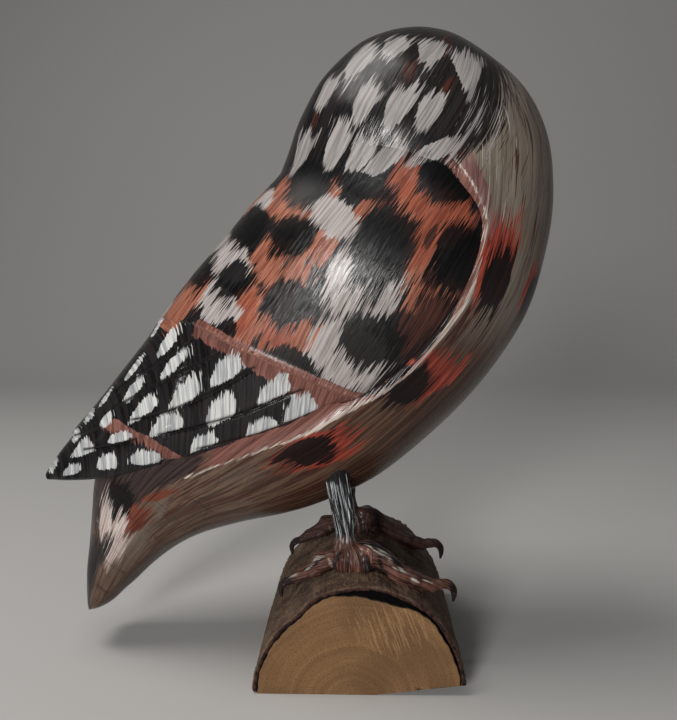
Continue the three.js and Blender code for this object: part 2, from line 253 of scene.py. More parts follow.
def face_place(sideways, up, out):
    """A place given as sideways, upwards and outwards from the middle of the face."""
    reach = np.asarray(FACE_REACH + out)[..., None] * FACE_FORWARD
    aside = np.asarray(sideways)[..., None] * FACE_ACROSS
    return HEAD_CENTRE + reach + aside + np.asarray(up)[..., None] * FACE_UP


def press_bowl(points, sideways):
    """Pushes points that lie inside a ball in front of the face straight back onto the ball."""
    centre = face_place(sideways, EYE_RAISE, DISC_FLOOR + DISC_CURVE)
    offset = points - centre
    ahead = offset @ FACE_FORWARD
    aside = np.maximum((offset**2).sum(-1) - ahead**2, 0.0)
    floor = -np.sqrt(np.maximum(DISC_CURVE**2 - aside, 0.0))
    inside = (aside < DISC_CURVE**2) & (ahead > floor) & (ahead < 0)
    push = np.where(inside, floor - ahead, 0.0)
    return points + push[..., None] * FACE_FORWARD


for eye_side in (-0.5, 0.5):
    body_points = press_bowl(body_points, eye_side * EYE_SPACING)
carved_body = ring_skin("carved_body", body_points)


def places_of(piece):
    """A mesh's points in millimetres, and the way the surface faces at each."""
    count = len(piece.data.vertices)
    points, normals = np.empty(count * 3), np.empty(count * 3)
    piece.data.vertices.foreach_get("co", points)
    piece.data.vertex_normals.foreach_get("vector", normals)
    return points.reshape(-1, 3) / MM, normals.reshape(-1, 3)


def as_on_right(points):
    """Both sides are painted alike: a place on the bird's left becomes the one across from it."""
    mirrored = points.copy()
    mirrored[:, 1] = MIDLINE_Y - np.abs(points[:, 1] - MIDLINE_Y)
    return mirrored


def store(piece, name, values):
    """Keeps a number or a vector at each point of a mesh, for its material to read."""
    kind, key = ("FLOAT", "value") if values.ndim == 1 else ("FLOAT_VECTOR", "vector")
    attribute = piece.data.attributes.new(name, kind, "POINT")
    attribute.data.foreach_set(key, values.astype(np.float32).ravel())


# How far a field of paint goes either way. A coat covers where its field is above 0, and the
# bristle marks move that edge by less than this.
FIELD_LIMIT = 6.0


def keep_field(piece, name, *limits):
    """Keeps the least of several fields of paint at each point of a mesh."""
    least = np.minimum.reduce(np.broadcast_arrays(*limits))
    store(piece, name, np.clip(least, -FIELD_LIMIT, FIELD_LIMIT))


def with_poles(values, *at_poles):
    """Numbers on a grid as one row, with those of the two poles that close the skin."""
    return np.append(values.ravel(), at_poles)


# Which way the brush went on head and mantle: places in the side view (x, z) and the lean of the
# strokes there, in degrees from upright, going down and back. Along the back they follow it.
STROKE_LEANS = np.array([
    (-1, 236, 20), (13, 241, 12), (25, 238, 10), (39, 230, 8), (-13, 227, 20), (1, 218, 22),
    (13, 216, 26), (24, 214, 29), (43, 211, 27), (-23, 205, 21), (-10, 204, 21), (-2, 199, 33),
    (8, 197, 46), (28, 202, 50), (50, 205, 30), (-2, 190, 38), (25, 186, 32), (3, 156, 25),
    (-12, 182, 40), (-42, 168, 47), (-26, 142, 25), (-1, 125, 30), (20, 177, 28), (13, 135, 32),
    (31, 149, 28), (-52, 142, 40),
], float)
BACK_LINE = np.array([
    (-123, 93), (-97, 123), (-69, 159), (-46, 186), (-33, 202), (-28, 212), (-24, 223),
    (-16, 236), (-4, 248), (9, 255),
], float)
NAPE = BACK_LINE[4:5]
SHEET_POWERS = range(7)
FLOW_POWERS = [(i, j) for i in SHEET_POWERS for j in SHEET_POWERS if 0 < i + j <= SHEET_POWERS[-1]]
FLOW_MIDDLE, FLOW_SCALE = (-10, 170), 90
HEAD_ROUND = 60.0
# How fast the brush marks change from one side of the bird to the other, beside the strokes' own
# two ways.
SIDE_SHARE = 1 / 40


def flow_terms(places):
    """The terms x^i z^j of a smooth sheet over the side view, and their slopes in x and in z,
    with x and z counted from the middle of the mantle in lengths of 90 mm."""
    x, z = ((places - FLOW_MIDDLE) / FLOW_SCALE).T
    terms = np.stack([x**i * z**j for i, j in FLOW_POWERS], 1)
    slope_x = np.stack([i * x ** max(i - 1, 0) * z**j for i, j in FLOW_POWERS], 1) / FLOW_SCALE
    slope_z = np.stack([j * x**i * z ** max(j - 1, 0) for i, j in FLOW_POWERS], 1) / FLOW_SCALE
    return terms, slope_x, slope_z


def fit_flow():
    """Least squares for two sheets: one is level along the strokes and climbs 1 per mm across
    them, and is 0 on the line of the back; the other climbs along them and is level across.
    Both are kept calm: their slopes should change little over 3 mm, on a grid over the bird."""
    lean = np.radians(STROKE_LEANS[:, 2])
    along = np.stack([-np.sin(lean), -np.cos(lean)], 1)
    across = np.stack([np.cos(lean), -np.sin(lean)], 1)
    _, slope_x, slope_z = flow_terms(STROKE_LEANS[:, :2])
    climb_along = slope_x * along[:, :1] + slope_z * along[:, 1:]
    climb_across = slope_x * across[:, :1] + slope_z * across[:, 1:]
    on_back = flow_terms(BACK_LINE)[0] - flow_terms(NAPE)[0]
    grid = np.stack(np.meshgrid(np.arange(-78, 66, 6.0), np.arange(110, 256, 6.0)), -1)
    grid = grid.reshape(-1, 2)
    _, grid_x, grid_z = flow_terms(grid)
    _, right_x, right_z = flow_terms(grid + (3, 0))
    _, above_x, above_z = flow_terms(grid + (0, 3))
    calm = 0.1 * np.concatenate([
        right_x - grid_x, right_z - grid_z, above_x - grid_x, above_z - grid_z,
    ])
    ones, zeros = np.ones(len(lean)), np.zeros(len(lean))
    rest = np.zeros(len(calm))
    across_sheet = np.linalg.lstsq(
        np.concatenate([climb_along, 0.5 * climb_across, 0.01 * on_back, calm]),
        np.concatenate([zeros, 0.5 * ones, np.zeros(len(BACK_LINE)), rest]),
        rcond=None,
    )[0]
    along_sheet = np.linalg.lstsq(
        np.concatenate([climb_along, climb_across, calm]),
        np.concatenate([ones, zeros, rest]),
        rcond=None,
    )[0]
    return across_sheet, along_sheet


def brush_flow(places):
    """Across and along the strokes on head and mantle, in mm: the fitted sheets, with the first
    bent round the back as an arc so that strokes keep their width there."""
    across_sheet, along_sheet = fit_flow()
    terms = flow_terms(places[:, [0, 2]])[0] - flow_terms(NAPE)[0]
    inward, down = terms @ across_sheet, terms @ along_sheet
    beside = np.abs(places[:, 1] - MIDLINE_Y)
    around = HEAD_ROUND * np.arctan2(beside, HEAD_ROUND - inward)
    return np.stack([around, down, places[:, 1] * SIDE_SHARE], 1)


# In mm: how near the line of sight a point has to be, how far in from the outermost it may lie,
# and what puts off the points on the bird's left.
SIGHT_WIDTH, SKIN_DEPTH, OFF_SIDE = 1.6, 4, 99


def outer_skin(skin, x, z):
    """The place on the bird's right that shows at x, z in the side view, and the way the surface
    faces there: of the points near that line of sight, the nearest to it on the outer side."""
    places, normals = skin
    far = np.hypot(places[:, 0] - x, places[:, 2] - z)
    far += np.where(places[:, 1] < MIDLINE_Y, 0, OFF_SIDE)
    close = np.flatnonzero(far < max(SIGHT_WIDTH, far.min() + 0.1))
    outer = close[places[close, 1] < places[close, 1].min() + SKIN_DEPTH]
    best = outer[np.argmin(far[outer])]
    return places[best], normals[best]


def lay_patches(skin, patches, slant=None):
    """Lays patches of paint on a surface. Each is given as it looks from the side: place (x, z),
    half length and half width in mm, lean of its strokes in degrees from upright, and how much
    narrower its lower end is. A slant turns its two ends from square to that angle from level."""
    laid = []
    for x, z, half_length, half_width, lean, taper in patches:
        centre, facing = outer_skin(skin, x, z)
        stroke = np.array([-math.sin(math.radians(lean)), 0, -math.cos(math.radians(lean))])
        along = stroke - facing * (stroke @ facing)
        seen_length = max(0.5, np.linalg.norm(along))
        along /= np.linalg.norm(along)
        across = np.cross(facing, along)
        seen_width = max(0.4, math.hypot(across[0], across[2]))
        shear = 0.0
        if slant is not None:
            edge = np.array([math.cos(math.radians(slant)), 0, math.sin(math.radians(slant))])
            shear = (edge @ along) / (edge @ across)
        laid.append((
            centre, facing, along, across, shear,
            half_length / seen_length, half_width / seen_width, taper,
        ))
    return laid


# How far off its own plane a patch follows the surface before it fades, and how fast, in mm.
PATCH_REACH, PATCH_FADE = 14, 10
UPPER_POWER = 2.6


def patch_field(places, laid, top_marks, end_marks, end_power=1.8, side_marks=0.1):
    """How far inside the nearest patch each place lies. A patch is an egg laid on the surface:
    1 - (|along|^p + |across|^p)^(1/p), with a lower power at its lower end, so that the end is
    more pointed. This is divided by the share of the patch's length that the bristle marks take
    there, so marks are long at the ends and short at the sides."""
    field = np.full(len(places), -FIELD_LIMIT)
    for centre, facing, along, across, shear, half_length, half_width, taper in laid:
        offset = places - centre
        beside = offset @ across
        down = (offset @ along - shear * beside) / half_length
        aside = beside / half_width * (1 + 0.32 * abs(taper)) / (1 - taper * np.clip(down, -1, 1))
        power = np.where(down < 0, UPPER_POWER, end_power)
        egg = 1 - (np.abs(down) ** power + np.abs(aside) ** power) ** (1 / power)
        egg -= np.maximum(np.abs(offset @ facing) - PATCH_REACH, 0) / PATCH_FADE
        at_end = smoothstep(0.2, 0.75, np.abs(down))
        marks = side_marks + (np.where(down < 0, top_marks, end_marks) - side_marks) * at_end
        field = np.maximum(field, egg / marks)
    return np.clip(field, -FIELD_LIMIT, FIELD_LIMIT)


# Patches on the head, from the crown down to the nape: white leaves in rows, and thin dabs of
# red-brown between them. The dark ground ends along HEAD_EDGE in strokes that run over the breast.
HEAD_WHITES = [
    (-1, 236, 9.0, 4.4, 20, 0.4), (13, 241, 5.8, 4.9, 12, 0.3), (25, 238, 6.6, 5.0, 10, 0.35),
    (39, 230, 9.4, 5.3, 8, 0.5), (-13, 227, 8.0, 3.0, 20, 0.3), (1, 219, 9.0, 4.1, 22, 0.4),
    (12.5, 216, 10.4, 4.4, 26, 0.45), (24, 215, 8.6, 4.4, 29, 0.45), (-23, 204, 9.0, 3.4, 21, 0.4),
    (-10, 204, 11.0, 4.2, 21, 0.4), (-2, 199, 11.0, 3.9, 33, 0.4), (7, 197, 11.0, 3.6, 50, 0.4),
    (26, 201, 10.8, 3.2, 66, 0.1), (-27, 217, 7.0, 1.7, 15, 0.35), (-20, 231, 6.6, 1.7, 28, 0.35),
    (-34, 199, 6.6, 1.8, 32, 0.35), (-8, 245, 5.6, 1.7, 50, 0.35), (7, 253, 4.0, 1.7, 66, 0.35),
]
HEAD_THIN = [(43, 212, 9.5, 6.5, 27, 0.0), (36, 205, 8.0, 4.0, 40, 0.0)]
HEAD_BROWNS = [
    (18, 231, 6.5, 2.4, 10, 0.0), (32, 244, 4.4, 1.8, 13, 0.0), (31, 224, 5.6, 1.6, 21, 0.0),
    (-18, 215, 5.0, 1.4, 20, 0.0), (4, 206, 5.0, 1.2, 24, 0.0),
]
HEAD_EDGE = [
    (62, 254), (56, 240), (54, 227), (52.5, 217), (48, 208), (41, 203), (33, 199), (20, 192),
    (0, 186), (-30, 176), (-60, 160),
]
BREAST_PINKS = [(41, 190, 12.0, 4.0, -20, -0.4), (48, 172, 12.0, 2.0, 4, 0.0)]
BREAST_STROKES = [(49, 197, 13.0, 5.0, 4, 0.0)]

# Patches on the flank, and at the root of the tail.
FLANK_REDS = [
    (50, 159, 18.5, 7.8, 14, 0.15), (25, 121, 13.0, 7.6, 60, 0.0), (-17, 92, 16.0, 7.0, 72, 0.0),
    (67, 152, 11.0, 3.4, 18, 0.0),
]
FLANK_BLACKS = [
    (50, 153, 14.5, 6.0, 15, 0.15), (18, 116, 11.5, 6.4, 58, 0.1), (-20, 91, 11.0, 5.8, 73, 0.1),
    (67.5, 147, 12.0, 3.6, 18, 0.1),
]
TAIL_BROWNS = [(-92, 60, 7.8, 6.2, 60, -0.3), (-80, 71, 7.5, 1.8, 66, 0.0)]
TAIL_BLACKS = [(-97.5, 65, 10.0, 6.0, 14, 0.3)]
TAIL_WHITES = [
    (-104.5, 55, 12.0, 3.0, 4, 0.0), (-99, 53, 9.5, 2.3, 30, 0.0), (-102.5, 48, 8.0, 5.0, 14, 0.5),
]

# The right edge of the bare grey panel on the tail, from its upper end down.
PANEL_EDGE = [(-81, 58), (-86, 48), (-94, 38), (-101, 28)]

body_skin = places_of(carved_body)
body_right = as_on_right(body_skin[0])
body_side = body_right[:, [0, 2]]
body_x, body_z = body_side.T
all_stations = with_poles(stations, 0.0, len(BODY_SECTIONS) - 1.0)
around_body = np.abs(np.angle(np.exp(1j * with_poles(angles, 0.0, 0.0))))
store(carved_body, "flow", brush_flow(body_right))
# Millimetres to a radian round the body and to a station along it, near enough.
AROUND_MM, STATION_MM = 45, 16
grain_places = [around_body * AROUND_MM, all_stations * STATION_MM, body_right[:, 1] * SIDE_SHARE]
store(carved_body, "grain", np.stack(grain_places, 1))
# The underside of the body is darkened: painted shade.
store(carved_body, "underside", smoothstep(1.9, 3.0, around_body))
# Darker, browner paint lower down the body: partly the paint's own browner tone, partly painted
# shade where less light falls.
low_brown_and_shade = smoothstep(163, 127, body_z + 0.25 * body_x)
# The lower front of the breast is darkened further: painted shade.
store(carved_body, "painted_shade", 0.5 * smoothstep(5, 40, body_x) * low_brown_and_shade)
store(carved_body, "low_brown_and_shade", low_brown_and_shade * (1 - 0.14 * smoothstep(-15, -50, body_x)))

# Each coat's patches, and the share of their length that the bristle marks take at either end.
for name, patches, top_marks, end_marks in (
    ("pink", BREAST_PINKS, 0.4, 0.4), ("flank_red", FLANK_REDS, 0.42, 0.4),
    ("flank_black", FLANK_BLACKS, 0.32, 0.5), ("tail_brown", TAIL_BROWNS, 0.4, 0.3),
    ("tail_black", TAIL_BLACKS, 0.25, 0.6), ("tail_white", TAIL_WHITES, 0.45, 0.4),
):
    laid = lay_patches(body_skin, patches)
    store(carved_body, name, patch_field(body_right, laid, top_marks, end_marks))
sparse = patch_field(body_right, lay_patches(body_skin, BREAST_STROKES), 0.6, 0.6)
store(carved_body, "pale_strokes", np.minimum(sparse, -0.85))
past_edge, _ = from_path(body_side, HEAD_EDGE)
keep_field(carved_body, "ground", -past_edge / 4.0)

# Beside the wings' edge runs a channel: a salmon strip under the wing, with painted shadow under
# the wing's edge, and painted shade under the wings' tips, down to the tail. The crest next to it
# is worn pale, with a painted highlight along its edge.
past_line, along_line = from_path(body_side, CREST)
strip_width = 7.5 * smoothstep(0.36, 0.5, along_line) + 4.5 * smoothstep(0.3, 0.2, along_line)
strip = np.minimum(-past_line + 0.2, strip_width + past_line) / 0.6
keep_field(carved_body, "strip", strip, (0.685 - along_line) * 60)
# A painted shadow under the wing's lower edge, on the inner side of the salmon strip.
wing_edge_shadow_reach = np.maximum(10 * strip_width - 6, (0.335 - along_line) * 60)
crease = np.minimum(-past_line - np.maximum(strip_width - 1.4, 0.3), wing_edge_shadow_reach) / 0.4
keep_field(carved_body, "crease", crease, (0.7 - along_line) * 60)
store(carved_body, "from_crest", past_line - 0.2)
# The pale line along the crest: worn paint, with a painted highlight along its edge.
crest_wear_and_highlight_width = 0.25 + 0.3 * smoothstep(0.08, 0.25, along_line)
crest_wear_and_highlight_width -= 0.25 * smoothstep(0.5, 0.56, along_line) + 9 * smoothstep(0.72, 0.76, along_line)
store(carved_body, "crest_wear_and_highlight_width", crest_wear_and_highlight_width)
# Painted shade under the wings' tips.
shade = (along_line - 0.67) * 40
keep_field(carved_body, "tail_shade", shade, (-past_line - 0.3) / 1.4, (body_z - 54) / 5)
side_edge = np.minimum((-past_line - 0.2) / 1.2, (50 - body_z) / 5)
tip_edge = (-body_x - 113.5) / 1.2 - 6 * smoothstep(58, 64, body_z)
keep_field(carved_body, "tail_edge", np.maximum(side_edge, tip_edge))
past_panel, _ = from_path(body_side, PANEL_EDGE)
panel_share = smoothstep(-1.5, 4.5, -past_panel) * smoothstep(1.0, 4.0, past_line)
store(carved_body, "tail_panel", panel_share * smoothstep(29, 50, body_z))

# The face is painted last: pale discs with brown streaks that run out from the eyes, a dark ring
# round each eye, and a dark brown ruff round both discs.
face_offset = body_skin[0] - face_place(0, 0, -FACE_REACH)
face_ahead, face_aside = face_offset @ FACE_FORWARD, face_offset @ FACE_ACROSS
face_above = face_offset @ FACE_UP - EYE_RAISE
beside_eye = np.abs(face_aside) - EYE_SPACING / 2
from_eye = np.hypot(beside_eye, face_above * 0.92)
round_eye = np.arctan2(face_above, beside_eye)
STREAK_TURN, STREAK_STRETCH = 14, 2.5
face_flow = [round_eye * STREAK_TURN, from_eye * STREAK_STRETCH, np.sign(face_aside)]
store(carved_body, "face_flow", np.stack(face_flow, 1))
in_front = (face_ahead - 14) / 3
for name, radius, comb in (("ruff", 26.0, 1.6), ("disc", 22.5, 1.6), ("eye_ring", 11.0, 1.2)):
    keep_field(carved_body, name, (radius - from_eye) / comb, in_front)
brow = (4.2 + 0.16 * face_above - np.abs(face_aside)) / 1.4
keep_field(carved_body, "brow", brow, (face_above + 12) / 4, in_front)


# Materials are made of shader nodes, added one at a time.
def add_node(tree, kind, inputs, **settings):
    """Adds a shader node, sets its options, and joins or sets its inputs by name or place."""
    node = tree.nodes.new(kind)
    for name, value in settings.items():
        setattr(node, name, value)
    for name, value in inputs.items():
        if isinstance(value, bpy.types.NodeSocket):
            tree.links.new(value, node.inputs[name])
        else:
            node.inputs[name].default_value = value
    return node


def maths(tree, operation, *values):
    """One Math node's result."""
    return add_node(tree, "ShaderNodeMath", dict(enumerate(values)), operation=operation).outputs[0]


def times(tree, value, factor):
    """The product of two numbers."""
    return maths(tree, "MULTIPLY", value, factor)


def spread(tree, value, low, high, to_low=0.0, to_high=1.0):
    """A number from low to high turned smoothly into one from to_low to to_high."""
    ends = {"Value": value, "From Min": low, "From Max": high, "To Min": to_low, "To Max": to_high}
    return add_node(tree, "ShaderNodeMapRange", ends, interpolation_type="SMOOTHSTEP").outputs[0]


def noise(tree, place, detail=1.0, scale=1.0):
    """Smooth noise, mostly between 0.3 and 0.7."""
    inputs = {"Vector": place, "Scale": scale, "Detail": detail}
    return add_node(tree, "ShaderNodeTexNoise", inputs).outputs["Fac"]


def blend(tree, share, below, above):
    """One colour over another, by a share from 0 to 1."""
    inputs = {0: share, 6: below, 7: above}
    return add_node(tree, "ShaderNodeMix", inputs, data_type="RGBA").outputs[2]


def tinted(tree, colour, *layers):
    """Thin layers over a colour, one after another, each given as its share and its paint."""
    for share, layer in layers:
        colour = blend(tree, share, colour, layer)
    return colour


def placed(tree, place, inputs, **settings):
    """Places moved, turned or stretched by a Mapping node."""
    return add_node(tree, "ShaderNodeMapping", {"Vector": place, **inputs}, **settings).outputs[0]


def paint(red, green, blue):
    """A colour as it is mixed on the palette, 0 to 255, turned into the shader's linear numbers."""
    shares = np.array([red, green, blue]) / 255
    return (*np.where(shares <= 0.04045, shares / 12.92, ((shares + 0.055) / 1.055) ** 2.4), 1.0)


def read(tree, name, output="Fac"):
    """What a mesh keeps at its points under that name."""
    return add_node(tree, "ShaderNodeAttribute", {}, attribute_name=name).outputs[output]


def new_group(name, inputs, outputs):
    """An empty node group with named sockets, and the nodes inside that stand for them."""
    tree = bpy.data.node_groups.new(name, "ShaderNodeTree")
    for label, kind in inputs.items():
        tree.interface.new_socket(label, in_out="INPUT", socket_type=f"NodeSocket{kind}")
    for label, kind in outputs.items():
        tree.interface.new_socket(label, in_out="OUTPUT", socket_type=f"NodeSocket{kind}")
    return tree, tree.nodes.new("NodeGroupInput").outputs, tree.nodes.new("NodeGroupOutput").inputs


def use_group(tree, group, inputs):
    """A group placed in a tree, with its inputs joined or set by name. Returns its outputs."""
    return add_node(tree, "ShaderNodeGroup", inputs, node_tree=group).outputs


# Bristles: marks of a stiff brush along the strokes. Marks says how far a coat's edge is drawn
# out, Tone how light the paint is, and Hairs is the fine relief. Size makes them all coarser.
bristles_group, given, result = new_group(
    "bristles",
    {"Flow": "Vector", "Size": "Float", "Seed": "Float"},
    {"Marks": "Float", "Tone": "Float", "Hairs": "Float"},
)
parts = add_node(bristles_group, "ShaderNodeSeparateXYZ", {0: given["Flow"]}).outputs
slow = add_node(bristles_group, "ShaderNodeCombineXYZ", {
    0: times(bristles_group, parts[0], 0.07),
    1: times(bristles_group, parts[1], 0.035),
    2: given["Seed"],
}).outputs[0]
wander = times(bristles_group, noise(bristles_group, slow), 1.8)
across = maths(bristles_group, "ADD", parts[0], wander)
across = maths(bristles_group, "DIVIDE", across, given["Size"])


def drawn_out(width, length, seed, detail=1.0):
    """Noise drawn out along the strokes, from about -1 to 1."""
    own_seed = maths(bristles_group, "ADD", given["Seed"], seed)
    place = add_node(bristles_group, "ShaderNodeCombineXYZ", {
        0: maths(bristles_group, "DIVIDE", across, width),
        1: maths(bristles_group, "DIVIDE", parts[1], length),
        2: maths(bristles_group, "ADD", parts[2], own_seed),
    }).outputs[0]
    centred = maths(bristles_group, "SUBTRACT", noise(bristles_group, place, detail), 0.5)
    return times(bristles_group, centred, 5.0)


locks = times(bristles_group, drawn_out(2.2, 26.0, 0.0), 0.6)
strands = times(bristles_group, drawn_out(0.68, 13.0, 5.2), 0.95)
hairs = drawn_out(0.36, 8.0, 9.4)
marks = maths(bristles_group, "ADD", locks, strands)
marks = maths(bristles_group, "ADD", marks, times(bristles_group, hairs, 0.45))
bristles_group.links.new(marks, result["Marks"])
faint_hairs = times(bristles_group, hairs, 0.5)
tone = maths(bristles_group, "ADD", drawn_out(1.1, 30.0, 14.1), faint_hairs)
bristles_group.links.new(spread(bristles_group, tone, -1.0, 1.0), result["Tone"])
bristles_group.links.new(spread(bristles_group, hairs, -1.0, 1.0), result["Hairs"])

# Coat: one layer of brushed paint over what lies below it, in two tones, combed at its edge.
coat_group, given, result = new_group(
    "coat",
    {
        "Below": "Color", "Dark": "Color", "Light": "Color", "Field": "Float",
        "Marks": "Float", "Tone": "Float", "Cover": "Float",
    },
    {"Colour": "Color", "Mask": "Float"},
)
edge = spread(coat_group, maths(coat_group, "ADD", given["Field"], given["Marks"]), -0.25, 0.25)
mask = times(coat_group, edge, given["Cover"])
layer = blend(coat_group, given["Tone"], given["Dark"], given["Light"])
coat_group.links.new(blend(coat_group, mask, given["Below"], layer), result["Colour"])
coat_group.links.new(mask, result["Mask"])


def bristles(tree, flow, seed, size=1.0):
    """The marks of one brush on a flow."""
    return use_group(tree, bristles_group, {"Flow": flow, "Size": size, "Seed": seed})


def coat(tree, below, field, brush, tones, cover=0.97):
    """A coat in two tones over a colour. The field is a name of the mesh's, or a socket."""
    outputs = use_group(tree, coat_group, {
        "Below": below, "Dark": paint(*tones[0]), "Light": paint(*tones[1]),
        "Field": read(tree, field) if isinstance(field, str) else field,
        "Marks": brush["Marks"], "Tone": brush["Tone"], "Cover": cover,
    })
    return outputs["Colour"], outputs["Mask"]


def new_material(name):
    """A material with a Principled shader, and its nodes and shader to work on."""
    material = bpy.data.materials.new(name)
    material.use_nodes = True
    return material, material.node_tree, material.node_tree.nodes["Principled BSDF"]


def finish(tree, shader, colour, height, depth, roughness, strength=0.6, specular=0.24):
    """Joins a surface's colour, relief and roughness to its shader."""
    inputs = {"Height": height, "Strength": strength, "Distance": depth}
    bump = add_node(tree, "ShaderNodeBump", inputs)
    tree.links.new(bump.outputs["Normal"], shader.inputs["Normal"])
    tree.links.new(roughness, shader.inputs["Roughness"])
    tree.links.new(colour, shader.inputs["Base Color"])
    shader.inputs["Specular IOR Level"].default_value = specular


def finish_paint(tree, shader, colour, height, gloss=(0.17, 0.27), depth=0.00008):
    """Finishes paint, which is glossy on the ridges of its relief and dull between them."""
    roughness = spread(tree, height, 0.0, 1.2, gloss[1], gloss[0])
    finish(tree, shader, colour, height, depth, roughness)


CHARCOAL = ((11, 10, 11), (32, 30, 31))
BLACK = ((3, 3, 4), (10, 10, 11))
WHITE = ((136, 128, 125), (174, 166, 163))
# The same white paint made darker for the head's leaves: painted shade, as the head gets less light
# than the mantle.
WHITE_IN_SHADE = ((122, 117, 115), (158, 153, 151))
TERRACOTTA = ((112, 64, 50), (162, 104, 83))
BRIGHT_ORANGE = ((110, 55, 41), (152, 84, 63))
RED_BROWN = ((30, 17, 15), (72, 40, 33))
SALMON = ((88, 54, 48), (130, 87, 77))


def mantle_coats(tree, colour, first, second):
    """The coats on head and mantle: orange, red-brown, white, then black, each combed over the
    last. Returns the colour and the relief."""
    colour, _ = coat(tree, colour, "orange", first, TERRACOTTA)
    colour, _ = coat(tree, colour, "bright_orange", second, BRIGHT_ORANGE)
    brushed_in = times(tree, spread(tree, second["Marks"], 0.35, 1.1), 0.5)
    brushed_in = times(tree, brushed_in, spread(tree, first["Tone"], 0.2, 0.8))
    colour = blend(tree, brushed_in, colour, paint(44, 24, 20))
    colour, _ = coat(tree, colour, "red_brown", first, RED_BROWN)
    colour, white = coat(tree, colour, "white", second, WHITE)
    colour, leaf = coat(tree, colour, "leaves", second, WHITE_IN_SHADE)
    white = maths(tree, "MAXIMUM", white, leaf)
    colour, _ = coat(tree, colour, "thin_white", second, WHITE_IN_SHADE)
    colour, black = coat(tree, colour, "black", first, BLACK)
    step = times(tree, maths(tree, "SUBTRACT", white, black), 0.35)
    return colour, maths(tree, "ADD", first["Hairs"], step)


body_paint, tree, shader = new_material("body_paint")
flow, grain = read(tree, "flow", "Vector"), read(tree, "grain", "Vector")
first, second = bristles(tree, flow, 0.0), bristles(tree, flow, 40.0)
streak, line = bristles(tree, grain, 80.0, 1.3), bristles(tree, grain, 120.0, 0.9)
broad = noise(tree, placed(tree, grain, {"Scale": (0.09, 0.02, 1.0)}))
broad = spread(tree, broad, 0.35, 0.65)
low_brown_and_shade, panel = read(tree, "low_brown_and_shade"), read(tree, "tail_panel")
rare, fine = bristles(tree, grain, 60.0, 1.9), bristles(tree, grain, 30.0, 0.5)
reddish = times(tree, spread(tree, rare["Marks"], 0.1, 1.3), low_brown_and_shade)
sunk = spread(tree, line["Marks"], 0.6, 0.95)
sunk = times(tree, sunk, maths(tree, "SUBTRACT", 0.9, panel))
colour = tinted(
    tree,
    blend(tree, broad, paint(100, 89, 79), paint(126, 116, 104)),
    (times(tree, streak["Tone"], 0.7), paint(142, 133, 121)),
    # browner paint lower down, with painted shade
    (times(tree, low_brown_and_shade, 0.92), blend(tree, streak["Tone"], paint(50, 28, 20), paint(98, 72, 55))),
    # painted shade on the lower breast
    (read(tree, "painted_shade"), paint(32, 18, 15)),
    (times(tree, reddish, 0.7), paint(74, 34, 24)),
    (times(tree, panel, 0.66), blend(tree, broad, paint(96, 86, 76), paint(120, 110, 99))),
    (maths(tree, "MAXIMUM", sunk, 0.0), paint(60, 32, 27)),
    (times(tree, spread(tree, fine["Marks"], 0.7, 1.1), 0.55), paint(52, 29, 24)),
    # painted shade on the underside
    (times(tree, read(tree, "underside"), 0.6), paint(52, 34, 28)),
)
for name, brush, tones, *cover in (
    ("pink", streak, ((92, 56, 58), (140, 96, 96)), 0.8),
    ("flank_red", line, ((106, 38, 30), (154, 68, 52))),
    ("tail_shade", line, ((27, 22, 23), (62, 48, 47))),
    ("tail_brown", streak, ((74, 33, 23), (112, 58, 43))),
    ("tail_black", line, BLACK),
    ("tail_white", line, ((156, 136, 130), (196, 184, 178))),
    ("tail_edge", line, CHARCOAL),
    ("flank_black", line, BLACK),
    ("strip", line, SALMON),
    # painted shadow under the wing's edge
    ("crease", line, ((16, 10, 10), (34, 20, 19))),
):
    colour, _ = coat(tree, colour, name, brush, tones, *cover)
# Worn paint and painted highlight along the crest.
from_rim = maths(tree, "ABSOLUTE", read(tree, "from_crest"))
crest_wear_and_highlight = times(tree, maths(tree, "SUBTRACT", read(tree, "crest_wear_and_highlight_width"), from_rim), 1.9)
colour, _ = coat(tree, colour, crest_wear_and_highlight, line, ((122, 100, 92), (196, 184, 174)))
colour, ground = coat(tree, colour, "ground", first, CHARCOAL)
colour, relief = mantle_coats(tree, colour, first, second)
over_grain = maths(tree, "SUBTRACT", relief, line["Hairs"])
relief = maths(tree, "MULTIPLY_ADD", ground, over_grain, line["Hairs"])
colour, _ = coat(tree, colour, "pale_strokes", line, ((128, 122, 116), (170, 165, 158)))
spokes = bristles(tree, read(tree, "face_flow", "Vector"), 160.0, 0.9)
for name, tones in (
    ("ruff", ((44, 26, 20), (88, 54, 40))), ("disc", ((130, 104, 84), (196, 184, 168))),
    ("brow", WHITE), ("eye_ring", BLACK),
):
    colour, _ = coat(tree, colour, name, spokes, tones)
finish_paint(tree, shader, colour, relief)
carved_body.data.materials.append(body_paint)

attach(carved_body, "root")
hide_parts("owl_body")


# The folded wings: carved on the same block, a saddle over the back that ends in free tips.
# Coverts stand a step above the flight feathers, which are parted by knife cuts.
WING_SECTIONS = np.array([
    # as for the body, and how far from back to belly the wing's lower edge lies
    [-26.9, 215.0, 78.5, 197.0, 45.6, 0.47],
    [-29.9, 207.5, 77.5, 182.0, 47.4, 0.61],
    [-33.2, 202.0, 75.6, 166.0, 49.4, 0.71],
    [-38.4, 194.8, 68.6, 142.0, 50.4, 0.73],
    [-45.8, 186.2, 54.0, 118.0, 50.4, 0.73],
    [-55.7, 174.2, 33.0, 95.0, 48.9, 0.715],
    [-69.2, 159.2, 10.0, 75.5, 46.4, 0.65],
    [-83.5, 141.0, -11.0, 64.5, 42.0, 0.6],
    [-97.5, 123.5, -31.5, 57.5, 37.0, 0.52],
    [-111.0, 107.0, -50.0, 50.0, 31.5, 0.43],
    [-123.0, 93.0, -70.0, 47.0, 26.0, 0.35],
    [-131.5, 82.5, -95.0, 55.0, 20.0, 0.29],
    [-136.4, 75.2, -122.0, 67.0, 12.0, 0.25],
])
